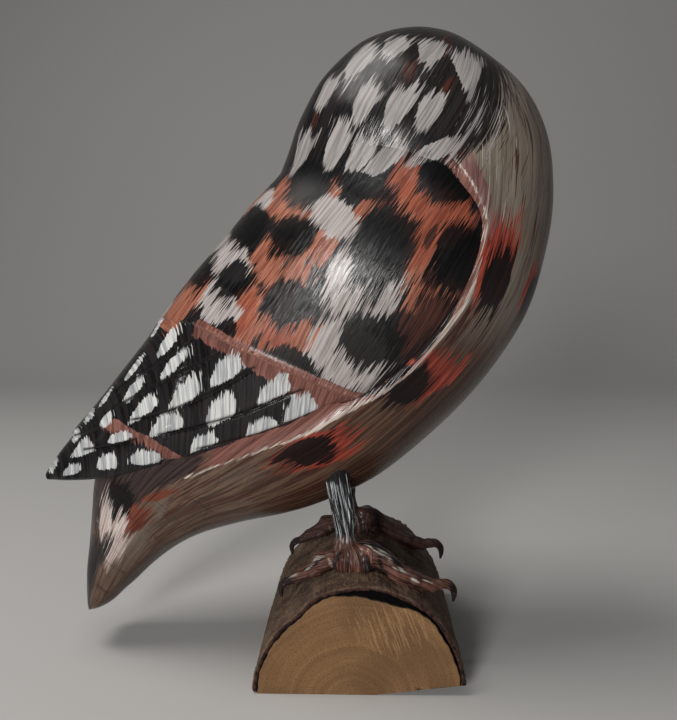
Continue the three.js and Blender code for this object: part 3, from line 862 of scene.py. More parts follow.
# The lower lip of the coverts and of the secondaries, and the knife cuts between feathers.
COVERT_LIP = [
    (-92, 143), (-76, 141), (-62, 139), (-45, 131), (-33, 126), (-12, 117), (-3, 113), (4, 111),
]
SECONDARY_LIP = [
    (-118, 92), (-109, 92), (-102, 99), (-97, 101), (-90, 98), (-81, 95), (-69, 88), (-62, 85),
]
KNIFE_CUTS = [
    [(-64, 133), (-82, 122), (-100, 111)],
    [(-53, 129), (-75, 118), (-101, 104)],
    [(-39, 124), (-56, 114), (-76, 105), (-92, 101)],
    [(-21, 116), (-33, 111), (-45, 106), (-64, 100), (-80, 96)],
    [(-5, 111), (-15, 107), (-30, 101), (-45, 96), (-64, 91)],
    [(-88, 94), (-97, 91), (-106, 89), (-114, 87)],
    [(-104, 97), (-113, 94), (-121, 91)],
]
CUT_WIDTH = 0.55


def right_of_path(places, points):
    """Distance in the side view from a path, positive on its right, and the share along it: below
    a lip that runs forwards, and above a cut that runs backwards."""
    signed, share = from_path(places, points)
    return -signed, share


def covert_line(share):
    """The station where the coverts end: two straight slopes that meet at a corner."""
    return 6.37 + (share - 0.49) * np.where(share > 0.49, -2.0, -1.3)


def wing_carving(points, station, share):
    """How far the carving stands above or below the plain wing, from distances in the side view
    to the lips and cuts: steps below both lips, V cuts with a raised upper side, a groove that
    parts the wings along the back, and a rounded lower edge."""
    places = side_view(points)
    below_coverts, along = right_of_path(places, COVERT_LIP)
    facet = 3.5 + 4.0 * smoothstep(0.3, 0.9, along) + 7.0 * (1 - smoothstep(0.2, 0.34, along))
    step = 0.9 + 1.2 * smoothstep(0.22, 0.36, along)
    step *= smoothstep(0.0, 1.0, below_coverts / facet)
    lip = 0.3 * bump_at(below_coverts + 0.9, 1.0) * smoothstep(0.25, 0.4, along)
    below_secondaries, along = right_of_path(places, SECONDARY_LIP)
    step += smoothstep(0.0, 2.6, below_secondaries) * smoothstep(8.0, 8.6, station.ravel())
    cuts = np.zeros(len(places))
    for cut in KNIFE_CUTS:
        above, along = right_of_path(places, cut)
        ends = smoothstep(0.0, 0.08, along) * (1 - smoothstep(0.92, 1.0, along))
        raised = np.where(above > 0, 0.5 * np.exp(-np.abs(above) / 3.5), 0.0)
        cuts += ends * (raised - 1.15 * bump_at(above, CUT_WIDTH))
    carving = (lip - step + cuts).reshape(station.shape)
    parting = 2.2 * smoothstep(5, 9, station) * (1 - smoothstep(0, 0.1, share))
    edge = 0.9 * smoothstep(0.965, 1.0, share)
    tuck = 1.6 * bump_at(station - 2.1, 1.0) * (1 - smoothstep(0.75, 0.95, share))
    return carving - parting - edge - tuck


WING_COLUMNS, FRONT_ROWS, REAR_ROWS, UNDER_POINTS = 150, 125, 165, 24
shares = np.abs(np.arange(-WING_COLUMNS, WING_COLUMNS + 1)) / WING_COLUMNS
sides = np.sign(np.arange(-WING_COLUMNS, WING_COLUMNS + 1))
lip_station = covert_line(shares)
front = np.linspace(0, 1, FRONT_ROWS)[:, None] * lip_station
behind_lip = len(WING_SECTIONS) - 1 - lip_station
rear = lip_station + np.linspace(0, 1, REAR_ROWS + 1)[1:, None] * behind_lip
wing_stations = np.concatenate([front, rear])
wing_shares = np.broadcast_to(shares, wing_stations.shape)
wing_rows = rows_between(WING_SECTIONS, wing_stations)
wing_angles = np.arccos(1 - 2 * wing_rows[..., 5]) * wing_shares * sides
plain_wing = on_section(wing_rows, wing_angles, 0.0)
wing_lift = wing_carving(plain_wing, wing_stations, wing_shares)
wing_points = on_section(wing_rows, wing_angles, wing_lift)
under_share = (np.arange(UNDER_POINTS) + 1) / (UNDER_POINTS + 1)
far_edge, near_edge = wing_points[:, :1], wing_points[:, -1:]
under_points = near_edge + (far_edge - near_edge) * under_share[:, None]
folded_wings = ring_skin("folded_wings", np.concatenate([wing_points, under_points], 1))

# Patches on the mantle, from the nape down to the coverts' lip: white, orange and dark, each laid
# over the one above it, and the white spots on the flight feathers.
MANTLE_WHITES = [
    (-10, 178.4, 6.6, 9.6, 38, 0.0), (0, 152, 13.2, 13.8, 28, 0.15),
    (-5, 128, 12.2, 15.4, 28, 0.15), (-50, 164, 7.2, 8.6, 50, 0.1), (-54, 146, 7.4, 9.0, 45, 0.2),
    (-38, 187, 6.0, 3.0, 45, 0.0), (-57, 172, 6.0, 3.4, 40, 0.1), (-81, 145, 6.0, 3.0, 40, 0.1),
]
MANTLE_ORANGES = [
    (-28, 185, 7.6, 9.6, 42, 0.0), (-30, 161, 9.4, 12.4, 42, 0.0), (-42, 142, 12.5, 7.6, 30, 0.2),
    (-27, 137, 9.0, 11.0, 35, 0.1), (22, 164, 13.0, 6.4, 25, 0.0), (27, 146, 11.5, 11.0, 30, 0.1),
    (-64, 152, 7.4, 5.0, 50, 0.0), (-73, 146, 8.6, 5.0, 50, 0.0), (1, 180, 10.5, 2.6, 42, 0.0),
    (-14, 168, 7.0, 4.6, 38, 0.0), (-10, 189, 5.0, 3.2, 40, 0.0), (20, 180, 8.0, 8.0, 30, 0.0),
    (-44, 188, 7.0, 3.6, 40, 0.0), (-69, 158, 7.5, 3.8, 40, 0.0),
]
MANTLE_BRIGHTS = [
    (27, 180, 8.4, 14.0, 30, 0.0), (15, 190, 10.8, 4.8, 25, 0.0), (21, 168, 8.0, 4.6, 25, 0.0),
    (-43, 143, 9.0, 4.6, 30, 0.1), (-30, 136, 7.0, 6.0, 35, 0.1),
]
MANTLE_RED_BROWNS = [
    (29, 143, 9.5, 9.0, 30, 0.1), (19, 137, 8.0, 6.4, 35, 0.0), (27, 157, 7.0, 3.6, 25, 0.0),
    (25, 172, 5.0, 1.6, 25, 0.0), (-33, 150, 6.0, 1.6, 35, 0.0), (-46, 150, 5.0, 1.4, 40, 0.0),
]
MANTLE_BLACKS = [
    (-20, 190.5, 9.4, 8.2, 35, 0.3), (1, 189.5, 11.0, 4.4, -66, 0.0),
    (29, 190, 7.6, 10.6, 30, 0.2), (35, 163, 14.0, 9.4, 20, 0.2),
    (7.0, 165.4, 17.4, 11.4, 22, 0.1), (-26, 171, 8.6, 7.2, 45, 0.15),
    (-43, 177, 8.8, 6.6, 48, 0.0), (-26.5, 147.5, 9.4, 8.2, 42, 0.1),
    (3.2, 133.6, 10.2, 11.8, 22, 0.2), (-49, 156, 8.6, 5.8, 50, 0.0),
    (-24, 125, 5.6, 8.6, 40, 0.0), (-65, 159, 6.4, 5.2, 50, 0.0), (-50, 137, 5.6, 3.4, 40, 0.0),
    (-51, 180, 4.6, 2.6, 40, 0.1), (-74, 153, 4.6, 2.4, 40, 0.1),
]
FEATHER_SPOTS = [
    (-50, 123, 4.8, 6.0, 6, -0.2), (-31, 116, 4.0, 6.0, 4, -0.25), (-22, 109, 5.0, 6.0, 0, -0.2),
    (-37, 101, 3.5, 6.2, 0, -0.25), (-52, 108, 5.3, 6.0, 4, -0.35), (-60, 95, 3.1, 5.4, 0, -0.35),
    (-74, 101, 3.7, 5.5, 4, -0.35), (-66, 114, 5.4, 5.3, 8, -0.3), (-84, 107, 4.0, 5.2, 8, -0.35),
]
LOWER_SPOTS = [
    (-95, 94, 2.1, 5.4, 8, -0.2), (-113, 88, 3.7, 4.4, 8, -0.35), (-101, 84, 3.3, 5.0, 4, -0.3),
    (-84, 87, 2.9, 7.0, 4, -0.1), (-118, 79, 2.4, 4.2, 8, -0.2), (-119, 92, 2.5, 3.2, 30, 0.0),
]
LONG_SPOTS = [
    (-75, 132, 7.6, 2.5, 43, 0.2), (-72, 124, 8.2, 2.6, 45, 0.2), (-90, 113, 6.2, 2.1, 46, 0.2),
    (-91, 121, 6.0, 1.3, 40, 0.1), (-105, 108, 4.8, 1.2, 36, 0.1), (-113, 100, 3.2, 1.9, 42, 0.0),
    (-102, 100, 4.0, 2.0, 55, 0.1), (-130, 79, 3.4, 2.0, 32, 0.0), (-82, 138, 5.6, 1.0, 44, 0.0),
]
SALMON_POINTS = [
    (-46, 129, 5.0, 3.2, 20, 0.3), (-30, 119, 5.4, 4.4, 15, 0.3), (-18, 113, 4.4, 4.4, 10, 0.3),
]


def plume_flow(places):
    """Across and along the short upright strokes on the flight feathers."""
    around = places[:, 0] - 0.6 * np.abs(places[:, 1] - MIDLINE_Y)
    return np.stack([around, -places[:, 2], places[:, 1] * SIDE_SHARE], 1)


wing_skin = places_of(folded_wings)
wing_right = as_on_right(wing_skin[0])
wing_side = wing_right[:, [0, 2]]
below_coverts, along_coverts = right_of_path(wing_side, COVERT_LIP)
on_coverts = below_coverts[:, None] < 0.3
wing_flow = np.where(on_coverts, brush_flow(wing_right), plume_flow(wing_right))
store(folded_wings, "flow", wing_flow)
head_white, head_thin, head_brown = (
    lay_patches(body_skin, patches) for patches in (HEAD_WHITES, HEAD_THIN, HEAD_BROWNS)
)
white, orange, bright_orange, red_brown, black = (
    lay_patches(wing_skin, patches) for patches in (
        MANTLE_WHITES, MANTLE_ORANGES, MANTLE_BRIGHTS, MANTLE_RED_BROWNS, MANTLE_BLACKS,
    )
)
# Head and mantle are painted across both pieces. The channel beside the wings stays bare.
in_channel = smoothstep(7.2, 6.2, np.abs(past_line + 5.5)) * smoothstep(0.33, 0.27, along_line)
in_channel *= smoothstep(200, 195, body_z)
for piece, places, bare in (
    (carved_body, body_right, 12 * in_channel), (folded_wings, wing_right, 0),
):
    for name, laid, *marks in (
        ("white", white, 0.2, 0.36, 2.4, 0.12), ("leaves", head_white, 0.32, 0.34, 1.8, 0.08),
    ):
        store(piece, name, patch_field(places, laid, *marks))
    for name, laid, *marks in (
        ("orange", orange, 0.3, 0.42, 2.4), ("bright_orange", bright_orange, 0.3, 0.45, 2.4, 0.2),
        ("black", black, 0.2, 0.44, 2.4, 0.13),
    ):
        store(piece, name, patch_field(places, laid, *marks) - bare)
    store(piece, "thin_white", np.minimum(patch_field(places, head_thin, 0.5, 0.5), -0.55))
    dabs = patch_field(places, head_brown, 0.6, 0.6) - 0.3
    browns = patch_field(places, red_brown, 0.5, 0.5, 2.4, 0.3)
    store(piece, "red_brown", np.maximum(browns, dabs) - bare)
spots = np.maximum.reduce([
    patch_field(wing_right, lay_patches(wing_skin, FEATHER_SPOTS, 24), 0.34, 0.12, 3.5),
    patch_field(wing_right, lay_patches(wing_skin, LOWER_SPOTS, 8), 0.34, 0.12, 3.0),
    patch_field(wing_right, lay_patches(wing_skin, LONG_SPOTS), 0.3, 0.16, 2.2, 0.2),
])
store(folded_wings, "spots", np.where(below_coverts > 0.5, spots, -FIELD_LIMIT))
band_width = 4.8 + 5.4 * smoothstep(0.45, 0.88, along_coverts)
band_comb = 0.8 - 0.5 * smoothstep(0.4, 0.7, along_coverts)
band = np.minimum((below_coverts + 2.4) / 0.35, (band_width - below_coverts) / band_comb)
band = np.minimum(band, np.minimum(along_coverts - 0.285, 0.985 - along_coverts) * 80)
points = patch_field(wing_right, lay_patches(wing_skin, SALMON_POINTS), 0.3, 0.5)
points = np.minimum(points, below_coverts / 0.3)
below_secondaries, along_secondaries = right_of_path(wing_side, SECONDARY_LIP)
low_band = np.minimum(below_secondaries / 0.3, (4.6 - below_secondaries) / 1.6)
low_ends = np.minimum(along_secondaries - 0.25, 0.93 - along_secondaries) * 40
low_band = np.minimum(low_band, low_ends)
keep_field(folded_wings, "salmon", np.maximum.reduce([band, points, low_band]))
# The knife cuts are painted near black: painted shade in the cuts.
groove = np.zeros(len(wing_right))
for cut in KNIFE_CUTS:
    away, along = from_path(wing_side, cut)
    groove = np.maximum(groove, bump_at(away, CUT_WIDTH) * (1 - smoothstep(0.94, 1.0, along)))
store(folded_wings, "groove", groove)
# A lighter line along the coverts' lip: painted highlight where the lip catches the light.
lip_highlight = 0.35 - 1.3 * np.abs(below_coverts + 0.4) - 9 * smoothstep(0.34, 0.28, along_coverts)
keep_field(folded_wings, "lip_painted_highlight", lip_highlight)

wing_paint, tree, shader = new_material("wing_paint")
flow = read(tree, "flow", "Vector")
first, second = bristles(tree, flow, 0.0), bristles(tree, flow, 40.0)
colour = blend(tree, first["Tone"], paint(*CHARCOAL[0]), paint(*CHARCOAL[1]))
colour, relief = mantle_coats(tree, colour, first, second)
colour, _ = coat(tree, colour, "salmon", second, SALMON)
fine = bristles(tree, flow, 200.0, 0.8)
colour, spot = coat(tree, colour, "spots", fine, ((134, 136, 140), (198, 198, 195)))
relief = maths(tree, "ADD", relief, times(tree, spot, 0.4))
# Painted highlight along the coverts' lip.
colour, _ = coat(tree, colour, "lip_painted_highlight", second, ((120, 74, 62), (172, 130, 114)), 0.7)
# Painted shade in the knife cuts.
colour = blend(tree, read(tree, "groove"), colour, paint(10, 9, 9))
finish_paint(tree, shader, colour, relief)
folded_wings.data.materials.append(wing_paint)

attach(folded_wings, "root")
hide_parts("owl_body")


# The eyes: two turned wooden beads let into the discs, painted orange with a black pupil and
# varnished.
BALL_RINGS, BALL_SPOKES, BALL_POLE = 60, 72, 0.02


def round_ball(centre, radius, name):
    """A ball: rings of latitude round the face's forward axis. It keeps how far each point lies
    from that axis, as an angle."""
    latitude, longitude = np.meshgrid(
        np.linspace(BALL_POLE, math.pi - BALL_POLE, BALL_RINGS),
        np.arange(BALL_SPOKES) / BALL_SPOKES * 2 * math.pi,
        indexing="ij",
    )
    ahead = np.cos(latitude)[..., None] * FACE_FORWARD
    aside = (np.sin(latitude) * np.cos(longitude))[..., None] * FACE_ACROSS
    above = (np.sin(latitude) * np.sin(longitude))[..., None] * FACE_UP
    ball = ring_skin(name, centre + radius * (ahead + aside + above))
    offset = places_of(ball)[0] - centre
    from_axis = np.arccos(np.clip(offset @ FACE_FORWARD / radius, -1, 1))
    turn = np.arctan2(offset @ FACE_UP, offset @ FACE_ACROSS)
    store(ball, "from_axis", from_axis)
    store(ball, "iris_flow", np.stack([turn * 4, from_axis * 6, turn * 0], 1))
    return ball


eye_paint, tree, shader = new_material("eye_paint")
from_axis = read(tree, "from_axis")
spokes = bristles(tree, read(tree, "iris_flow", "Vector"), 7.0, 0.5)
iris = blend(tree, spokes["Tone"], paint(150, 78, 18), paint(206, 138, 44))
iris = blend(tree, spread(tree, from_axis, 0.72, 0.86), iris, paint(70, 30, 12))
iris = blend(tree, spread(tree, from_axis, 0.44, 0.4), iris, paint(6, 6, 6))
tree.links.new(iris, shader.inputs["Base Color"])
tree.links.new(spread(tree, spokes["Hairs"], 0.0, 1.0, 0.08, 0.16), shader.inputs["Roughness"])
shader.inputs["Coat Weight"].default_value = 0.6
for side, name in ((-0.5, "left_eye"), (0.5, "right_eye")):
    eye = round_ball(face_place(side * EYE_SPACING, EYE_RAISE, DISC_FLOOR - 2), EYE_RADIUS, name)
    eye.data.materials.append(eye_paint)
    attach(eye, "root")
    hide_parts("owl_body")


# The beak: a small hook, carved from a scrap of the same wood and glued on between the discs. It
# is painted like dark horn.
LIMB_SPOKES = 48


def limb_rings(stops, steps):
    """Rings of a changing radius along a smooth path. Each stop is x, y, z, radius."""
    stops = np.array(stops, float)
    line = rows_between(stops, np.linspace(0, len(stops) - 1, steps))
    along = np.gradient(line[:, :3], axis=0)
    along /= np.linalg.norm(along, axis=1, keepdims=True)
    sideways = np.array([0.0, 1.0, 0.0]) - along * along[:, 1:2]
    sideways /= np.linalg.norm(sideways, axis=1, keepdims=True)
    upwards = np.cross(sideways, along)
    turn = np.arange(LIMB_SPOKES) / LIMB_SPOKES * 2 * math.pi
    radius = np.maximum(line[:, 3], 0.05)[:, None, None]
    spokes = np.cos(turn)[:, None] * sideways[:, None] + np.sin(turn)[:, None] * upwards[:, None]
    return line[:, None, :3] + radius * spokes


BEAK_TOP, BEAK_LENGTH, BEAK_WIDTH = 7, 26, 11
# Down the beak: share of its length, how far it stands out in mm, and share of its width.
BEAK_STOPS = [(0, -4, 0.3), (0.25, 0.5, 0.46), (0.5, 3.5, 0.5), (0.75, 4.5, 0.36), (1, 1.5, 0.1)]
beak_line = [
    (*face_place(0, EYE_RAISE + BEAK_TOP - down * BEAK_LENGTH, out), fullness * BEAK_WIDTH)
    for down, out, fullness in BEAK_STOPS
]
beak = ring_skin("beak", limb_rings(beak_line, 60))
beak_offset = places_of(beak)[0] - face_place(0, EYE_RAISE, 0)
beak_axes = np.stack([FACE_ACROSS * 1.4, FACE_UP, FACE_FORWARD * 0.3], 1)
store(beak, "flow", beak_offset @ beak_axes)

beak_paint, tree, shader = new_material("beak_paint")
brush = bristles(tree, read(tree, "flow", "Vector"), 3.0, 0.8)
colour = blend(tree, brush["Tone"], paint(22, 19, 17), paint(74, 62, 50))
finish_paint(tree, shader, colour, brush["Hairs"], (0.22, 0.4))
beak.data.materials.append(beak_paint)
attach(beak, "root")
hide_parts("owl_body")


# The legs: each a wooden dowel with a foot of glue and sawdust modelled over wire toes, which
# clasps the bark. Shanks are striped black and white, feet red-brown with pale dabs on top: pale
# paint, and painted highlight where the light catches the toes' tops.
LEG_Y = -28.0
LEG_SPREAD = 50.0
LEG_VOXEL, LEG_ROUNDS = 0.42, 5
LUMP_SPOKES = 36
SHANK = [
    (-9.4, 0, 88, 4.9), (-8.6, 0, 76, 4.6), (-6.6, 0, 65, 4.5), (-5.7, 0, 56, 3.7),
    (-5.2, -0.4, 50, 4.6), (-4.6, -1.0, 44, 5.2),
]
FRONT_TOE = [
    (-1.0, -1.0, 46.6, 4.6), (4.8, -2.2, 47.6, 5.2), (10.2, -3.2, 44.8, 4.5),
    (14.8, -4.0, 41.4, 4.2), (20.6, -4.4, 38.4, 3.7), (26.6, -4.4, 36.6, 2.8),
    (31.6, -4.0, 36.6, 2.2), (35.0, -3.4, 36.4, 1.9), (37.2, -3.0, 34.4, 1.5),
    (37.7, -2.8, 31.6, 1.1), (37.2, -2.8, 28.8, 0.5),
]
BACK_TOE = [
    (-5.0, -1.0, 45.5, 4.4), (-10.4, -1.8, 45.2, 3.9), (-14.8, -2.4, 44.4, 4.0),
    (-18.4, -2.8, 42.0, 3.3), (-22.6, -3.2, 39.8, 2.7), (-27.0, -3.5, 37.8, 2.0),
    (-29.6, -3.5, 36.6, 1.6), (-31.2, -3.5, 34.2, 1.2), (-30.8, -3.5, 30.6, 0.5),
]
# Swellings of the foot: place (x, y, z) from the leg's own middle, and half sizes.
SWELLINGS = [
    ((-2.6, -1.6, 45.2), (8.4, 6.4, 7.0)), ((5.4, -2.8, 48.0), (4.4, 4.2, 4.4)),
    ((-14.6, -2.6, 45.2), (3.4, 3.8, 3.6)), ((12.0, -3.6, 44.6), (3.8, 4.4, 3.8)),
    ((1.2, -3.4, 43.0), (4.6, 4.6, 4.2)), ((21.5, -4.6, 38.6), (3.4, 3.9, 3.4)),
]
# Pale dabs on the toes' tops: pale paint, and painted highlight where the light catches them.
PALE_DABS_AND_HIGHLIGHTS = [
    (-15.4, 47.6, 2.4, 0.5, 62, 0.0), (-20, 43.2, 2.6, 0.4, 56, 0.0),
    (-26, 39.8, 2.2, 0.4, 62, 0.0), (-11.5, 45.6, 0.6, 2.6, 70, 0.0),
    (3.0, 50.4, 1.2, 1.3, -35, 0.2), (8.0, 49.6, 1.6, 1.0, -28, 0.0),
    (11.4, 47.4, 1.4, 0.6, -30, 0.0), (17, 42.8, 1.8, 0.4, -50, 0.0),
    (21.4, 40.0, 1.6, 0.4, -52, 0.0), (27, 38.4, 2.2, 0.35, -80, 0.0),
    (33, 38.2, 1.6, 0.3, -85, 0.0), (14.0, 44.0, 1.6, 0.3, -50, 0.0),
    (5.4, 51.2, 1.8, 0.3, -50, 0.0), (9.6, 50.0, 2.0, 0.3, -66, 0.0),
    (-17.2, 46.4, 1.2, 0.3, 50, 0.0),
]
DARK_DABS = [
    (6.6, 52.0, 4.6, 1.0, -40, 0.0), (8.0, 46.0, 4.0, 0.9, -8, 0.0),
    (14.0, 46.8, 5.0, 0.8, -48, 0.0), (3.0, 44.0, 4.4, 0.6, 4, 0.0),
    (-4.6, 44.0, 4.8, 0.5, 2, 0.0), (-9.5, 45.5, 3.6, 0.6, 20, 0.0),
    (-18, 44.6, 6.0, 0.6, 58, 0.0), (5.4, 42.0, 2.2, 2.0, 0, 0.0),
    (-29.4, 36.8, 3.6, 2.0, 60, 0.0), (37.4, 33.0, 5.0, 2.0, 0, 0.0),
    (-30.9, 33.4, 4.0, 1.6, 0, 0.0),
]


def ripples(places, length, seed, waves=26):
    """Smooth unevenness of about -1 to 1: a sum of plane waves, sin(k . place + phase), in
    random directions and with lengths near the one given."""
    draw = np.random.default_rng(seed)
    directions = draw.normal(size=(waves, 3))
    directions /= np.linalg.norm(directions, axis=1, keepdims=True)
    directions *= 2 * math.pi / (length * draw.uniform(0.7, 1.5, (waves, 1)))
    phases = draw.uniform(0, 2 * math.pi, waves)
    return np.sin(places @ directions.T + phases).sum(1) / math.sqrt(waves / 2) / 1.6


def swelling(centre, half_sizes):
    """Rings of an ellipsoid, from its lower to its upper end."""
    latitude = np.linspace(0.05, math.pi - 0.05, 24)[:, None]
    turn = np.arange(LUMP_SPOKES) / LUMP_SPOKES * 2 * math.pi
    east, north = np.sin(latitude) * np.cos(turn), np.sin(latitude) * np.sin(turn)
    unit = np.stack([east, north, -np.cos(latitude) + 0 * turn], -1)
    return np.array(centre) + np.array(half_sizes) * unit


def melt_together(name, ring_sets, voxel, rounds):
    """One skin over several closed ones: all are cut into cubes of the voxel's size, skinned
    again without what lies inside, and softened."""
    shapes = [ring_skin(f"{name}_{number}", rings) for number, rings in enumerate(ring_sets)]
    points, faces = np.empty((0, 3)), []
    for shape in shapes:
        start = len(points)
        points = np.concatenate([points, places_of(shape)[0] * MM])
        faces += [[start + corner for corner in face.vertices] for face in shape.data.polygons]
        bpy.data.objects.remove(shape)
    piece = mesh_piece(name, points, faces)
    remesh = piece.modifiers.new("remesh", "REMESH")
    remesh.mode = "VOXEL"
    remesh.voxel_size = voxel * MM
    soften = piece.modifiers.new("soften", "SMOOTH")
    soften.iterations = rounds
    finished = piece.evaluated_get(bpy.context.evaluated_depsgraph_get())
    piece.data = bpy.data.meshes.new_from_object(finished)
    piece.modifiers.clear()
    piece.data.shade_smooth()
    return piece


def move_points(piece, shift):
    """Moves a mesh's points by vectors in millimetres, and keeps them inside the box."""
    places = inside_box(places_of(piece)[0] + shift)
    piece.data.vertices.foreach_set("co", (places * MM).ravel())
    piece.data.update()


feet_paint, tree, shader = new_material("feet_paint")
brush = bristles(tree, read(tree, "flow", "Vector"), 9.0, 0.75)
other = bristles(tree, read(tree, "flow", "Vector"), 49.0, 0.75)
colour = blend(tree, brush["Tone"], paint(54, 34, 29), paint(112, 74, 63))
colour = blend(tree, spread(tree, other["Marks"], 0.5, 1.2), colour, paint(36, 18, 16))
colour, _ = coat(tree, colour, "shank", brush, ((7, 7, 8), (24, 25, 27)))
colour, _ = coat(tree, colour, "stripes", other, ((120, 124, 128), (190, 194, 196)))
colour, _ = coat(tree, colour, "dark_dabs", other, ((14, 10, 10), (34, 24, 22)))
# Pale dabs, partly painted highlight.
colour, pale = coat(tree, colour, "pale_dabs_and_highlights", brush, ((106, 98, 90), (178, 173, 164)), 0.85)
colour, _ = coat(tree, colour, "claw", other, ((16, 11, 9), (44, 28, 22)))
relief = maths(tree, "ADD", brush["Hairs"], times(tree, pale, 0.6))
# The far foot is darkened: painted shade.
colour = blend(tree, read(tree, "painted_shade"), colour, paint(30, 20, 17))
finish_paint(tree, shader, colour, relief, (0.25, 0.45), 0.0003)

for leg_name, leg_y in (("right_leg", LEG_Y), ("left_leg", LEG_Y + LEG_SPREAD)):
    to_leg = np.array([0.0, leg_y, 0.0])
    ring_sets = [
        limb_rings([(x, y + leg_y, z, radius) for x, y, z, radius in stops], 90)
        for stops in (SHANK, FRONT_TOE, BACK_TOE)
    ]
    ring_sets += [swelling(np.array(centre) + to_leg, sizes) for centre, sizes in SWELLINGS]
    leg = melt_together(f"{leg_name}_painted", ring_sets, LEG_VOXEL, LEG_ROUNDS)
    places, facing = places_of(leg)
    own = places - to_leg
    x, y, z = own.T
    on_shank = smoothstep(51, 57, z)
    fan = np.arctan2(y + 1, x + 5 + 0.22 * np.maximum(z - 56, 0))
    on_toe = smoothstep(6, 9, np.abs(x + 2.5)) * (1 - on_shank)
    furrows = np.sin(fan * 17 + 2.2 * ripples(own, 9.0, 5)) * (1 - on_toe) * 0.22
    wrinkles = ripples(own * (1.0, 0.7, 0.7), 3.6, 11) * 0.3 + ripples(own, 9.0, 12) * 0.35
    toe_tip = np.clip(smoothstep(30, 35, x) + smoothstep(-27, -30, x), 0, 1)
    lift = furrows + wrinkles * (1 - on_shank) * (1 - 0.8 * toe_tip)
    move_points(leg, facing * lift[:, None])
    spine = np.where(x > 0, 47.5 - 0.42 * x, 46.5 + 0.34 * x)
    across = np.where(on_toe > 0.5, (z - spine) * 1.2 + y * 0.6, fan * 5)
    down = np.where(on_toe > 0.5, x * 0.9, z)
    store(leg, "flow", np.stack([across, down, y * 0], 1))
    high_behind = smoothstep(-7.4, -9.4, x) * smoothstep(70, 76, z)
    keep_field(leg, "shank", (z - 54.5) / 1.6 - 5 * high_behind)
    keep_field(leg, "stripes", (z - 54.5) / 2.5, (75 - z) / 3, -0.35)
    is_near = leg_y == LEG_Y
    dab_places = own * (1, 1 if is_near else -1, 1) + (0, LEG_Y, 0)
    if is_near:
        dab_and_highlight_laid = lay_patches((dab_places, facing), PALE_DABS_AND_HIGHLIGHTS)
        dark_laid = lay_patches((dab_places, facing), DARK_DABS)
    store(leg, "pale_dabs_and_highlights", patch_field(dab_places, dab_and_highlight_laid, 0.8, 0.8, 2.0, 0.6) - 0.15)
    store(leg, "dark_dabs", patch_field(dab_places, dark_laid, 0.5, 0.5, 2.0, 0.3))
    # The far foot gets painted shade.
    store(leg, "painted_shade", np.full(len(own), 0.0 if is_near else 0.62))
    keep_field(leg, "claw", np.maximum(x - 35.6, -29.2 - x) / 0.8, (36.8 - z) / 0.8)
    leg.data.materials.append(feet_paint)
    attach(leg, "root")
    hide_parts(leg_name)


# The log: half a branch, sawn square, flat side down, with a long chip off the underside at the
# near right corner. Its bark has shrunk away from the wood along the top of the near end.
LOG_LENGTH, LOG_WIDTH, LOG_HEIGHT = 100.0, 82.0, 42.7
BARK_THICKNESS = 2.1


def log_outline(angle, along, inward):
    """The branch's outline: a half ellipse with a low left shoulder and a few knots, moved
    inwards by a distance along its spokes."""
    shoulder = 0.06 * bump_at(angle - 2.27, 0.44)
    knots = 0.012 * np.sin(5 * angle + 0.045 * along)
    knots += 0.008 * np.sin(11 * angle - 0.08 * along + 1)
    size = 1 - shoulder + knots * np.sin(angle)
    x = np.cos(angle) * (LOG_WIDTH / 2 * size - inward)
    z = np.sin(angle) * (LOG_HEIGHT * size - inward)
    return x, z


def above_chip(points):
    """Lifts points onto the chip's face: a plane that rises 4.9 mm over 40 mm towards the right
    edge, and runs out 84 mm further back."""
    face = 0.1225 * (points[..., 0] - 4) - 0.0583 * (points[..., 1] + 52)
    lifted = points.copy()
    lifted[..., 2] = np.maximum(points[..., 2], np.maximum(face, 0))
    return lifted


def log_ripples(places, length, *draw):
    """Ripples at the points of a grid on the log."""
    return ripples(places.reshape(-1, 3), length, *draw).reshape(places.shape[:-1])


half = LOG_LENGTH / 2
BARK_SPOKES, BARK_RINGS, INNER_RINGS = 330, 230, 14
outer_y = np.linspace(-half, half, BARK_RINGS)
inner_y = np.linspace(half, -half, INNER_RINGS)
log_angle, along_loop = np.meshgrid(
    np.linspace(0, math.pi, BARK_SPOKES), np.concatenate([outer_y, inner_y]), indexing="ij"
)
is_inner = np.broadcast_to(np.arange(BARK_RINGS + INNER_RINGS) >= BARK_RINGS, along_loop.shape)
LOG_AROUND_MM = 40
round_log = log_angle * LOG_AROUND_MM
grain_place = np.stack([round_log, along_loop * 0.35, np.zeros_like(round_log)], -1)
plates = log_ripples(grain_place, 7.0, 21)
crust = log_ripples(grain_place * (1, 1.6, 1), 2.6, 22, 40)
grit = log_ripples(grain_place * (1, 2.4, 1), 1.3, 23, 60)
cracks = np.exp(-(np.abs(plates) / 0.10) ** 1.5) * smoothstep(0.1, 0.6, crust + 0.4)
bark_sink = 0.4 + 0.16 * plates + 0.13 * crust + 0.11 * grit + 0.2 * cracks
rim_sink = 0.7 * smoothstep(-half + 2.2, -half, along_loop)
rim_sink += 0.5 * smoothstep(half - 2, half, along_loop)
thinner = 0.5 * bump_at(log_angle - 1.36, 0.34)
sink = np.clip(bark_sink, 0, 1.4) + rim_sink * 0.6
sink = np.where(is_inner, BARK_THICKNESS - thinner, sink)
bark_x, bark_z = log_outline(log_angle, along_loop, sink)
end_wear = 0.45 * (1 + crust) * smoothstep(half - 1.2, half, np.abs(along_loop))
bark_points = np.stack([bark_x, along_loop - np.sign(along_loop) * end_wear, bark_z], -1)
log_bark = ring_skin("log_bark", above_chip(bark_points))
end_face = np.where(is_inner, 1.0, smoothstep(half - 0.5, half, np.abs(along_loop)))
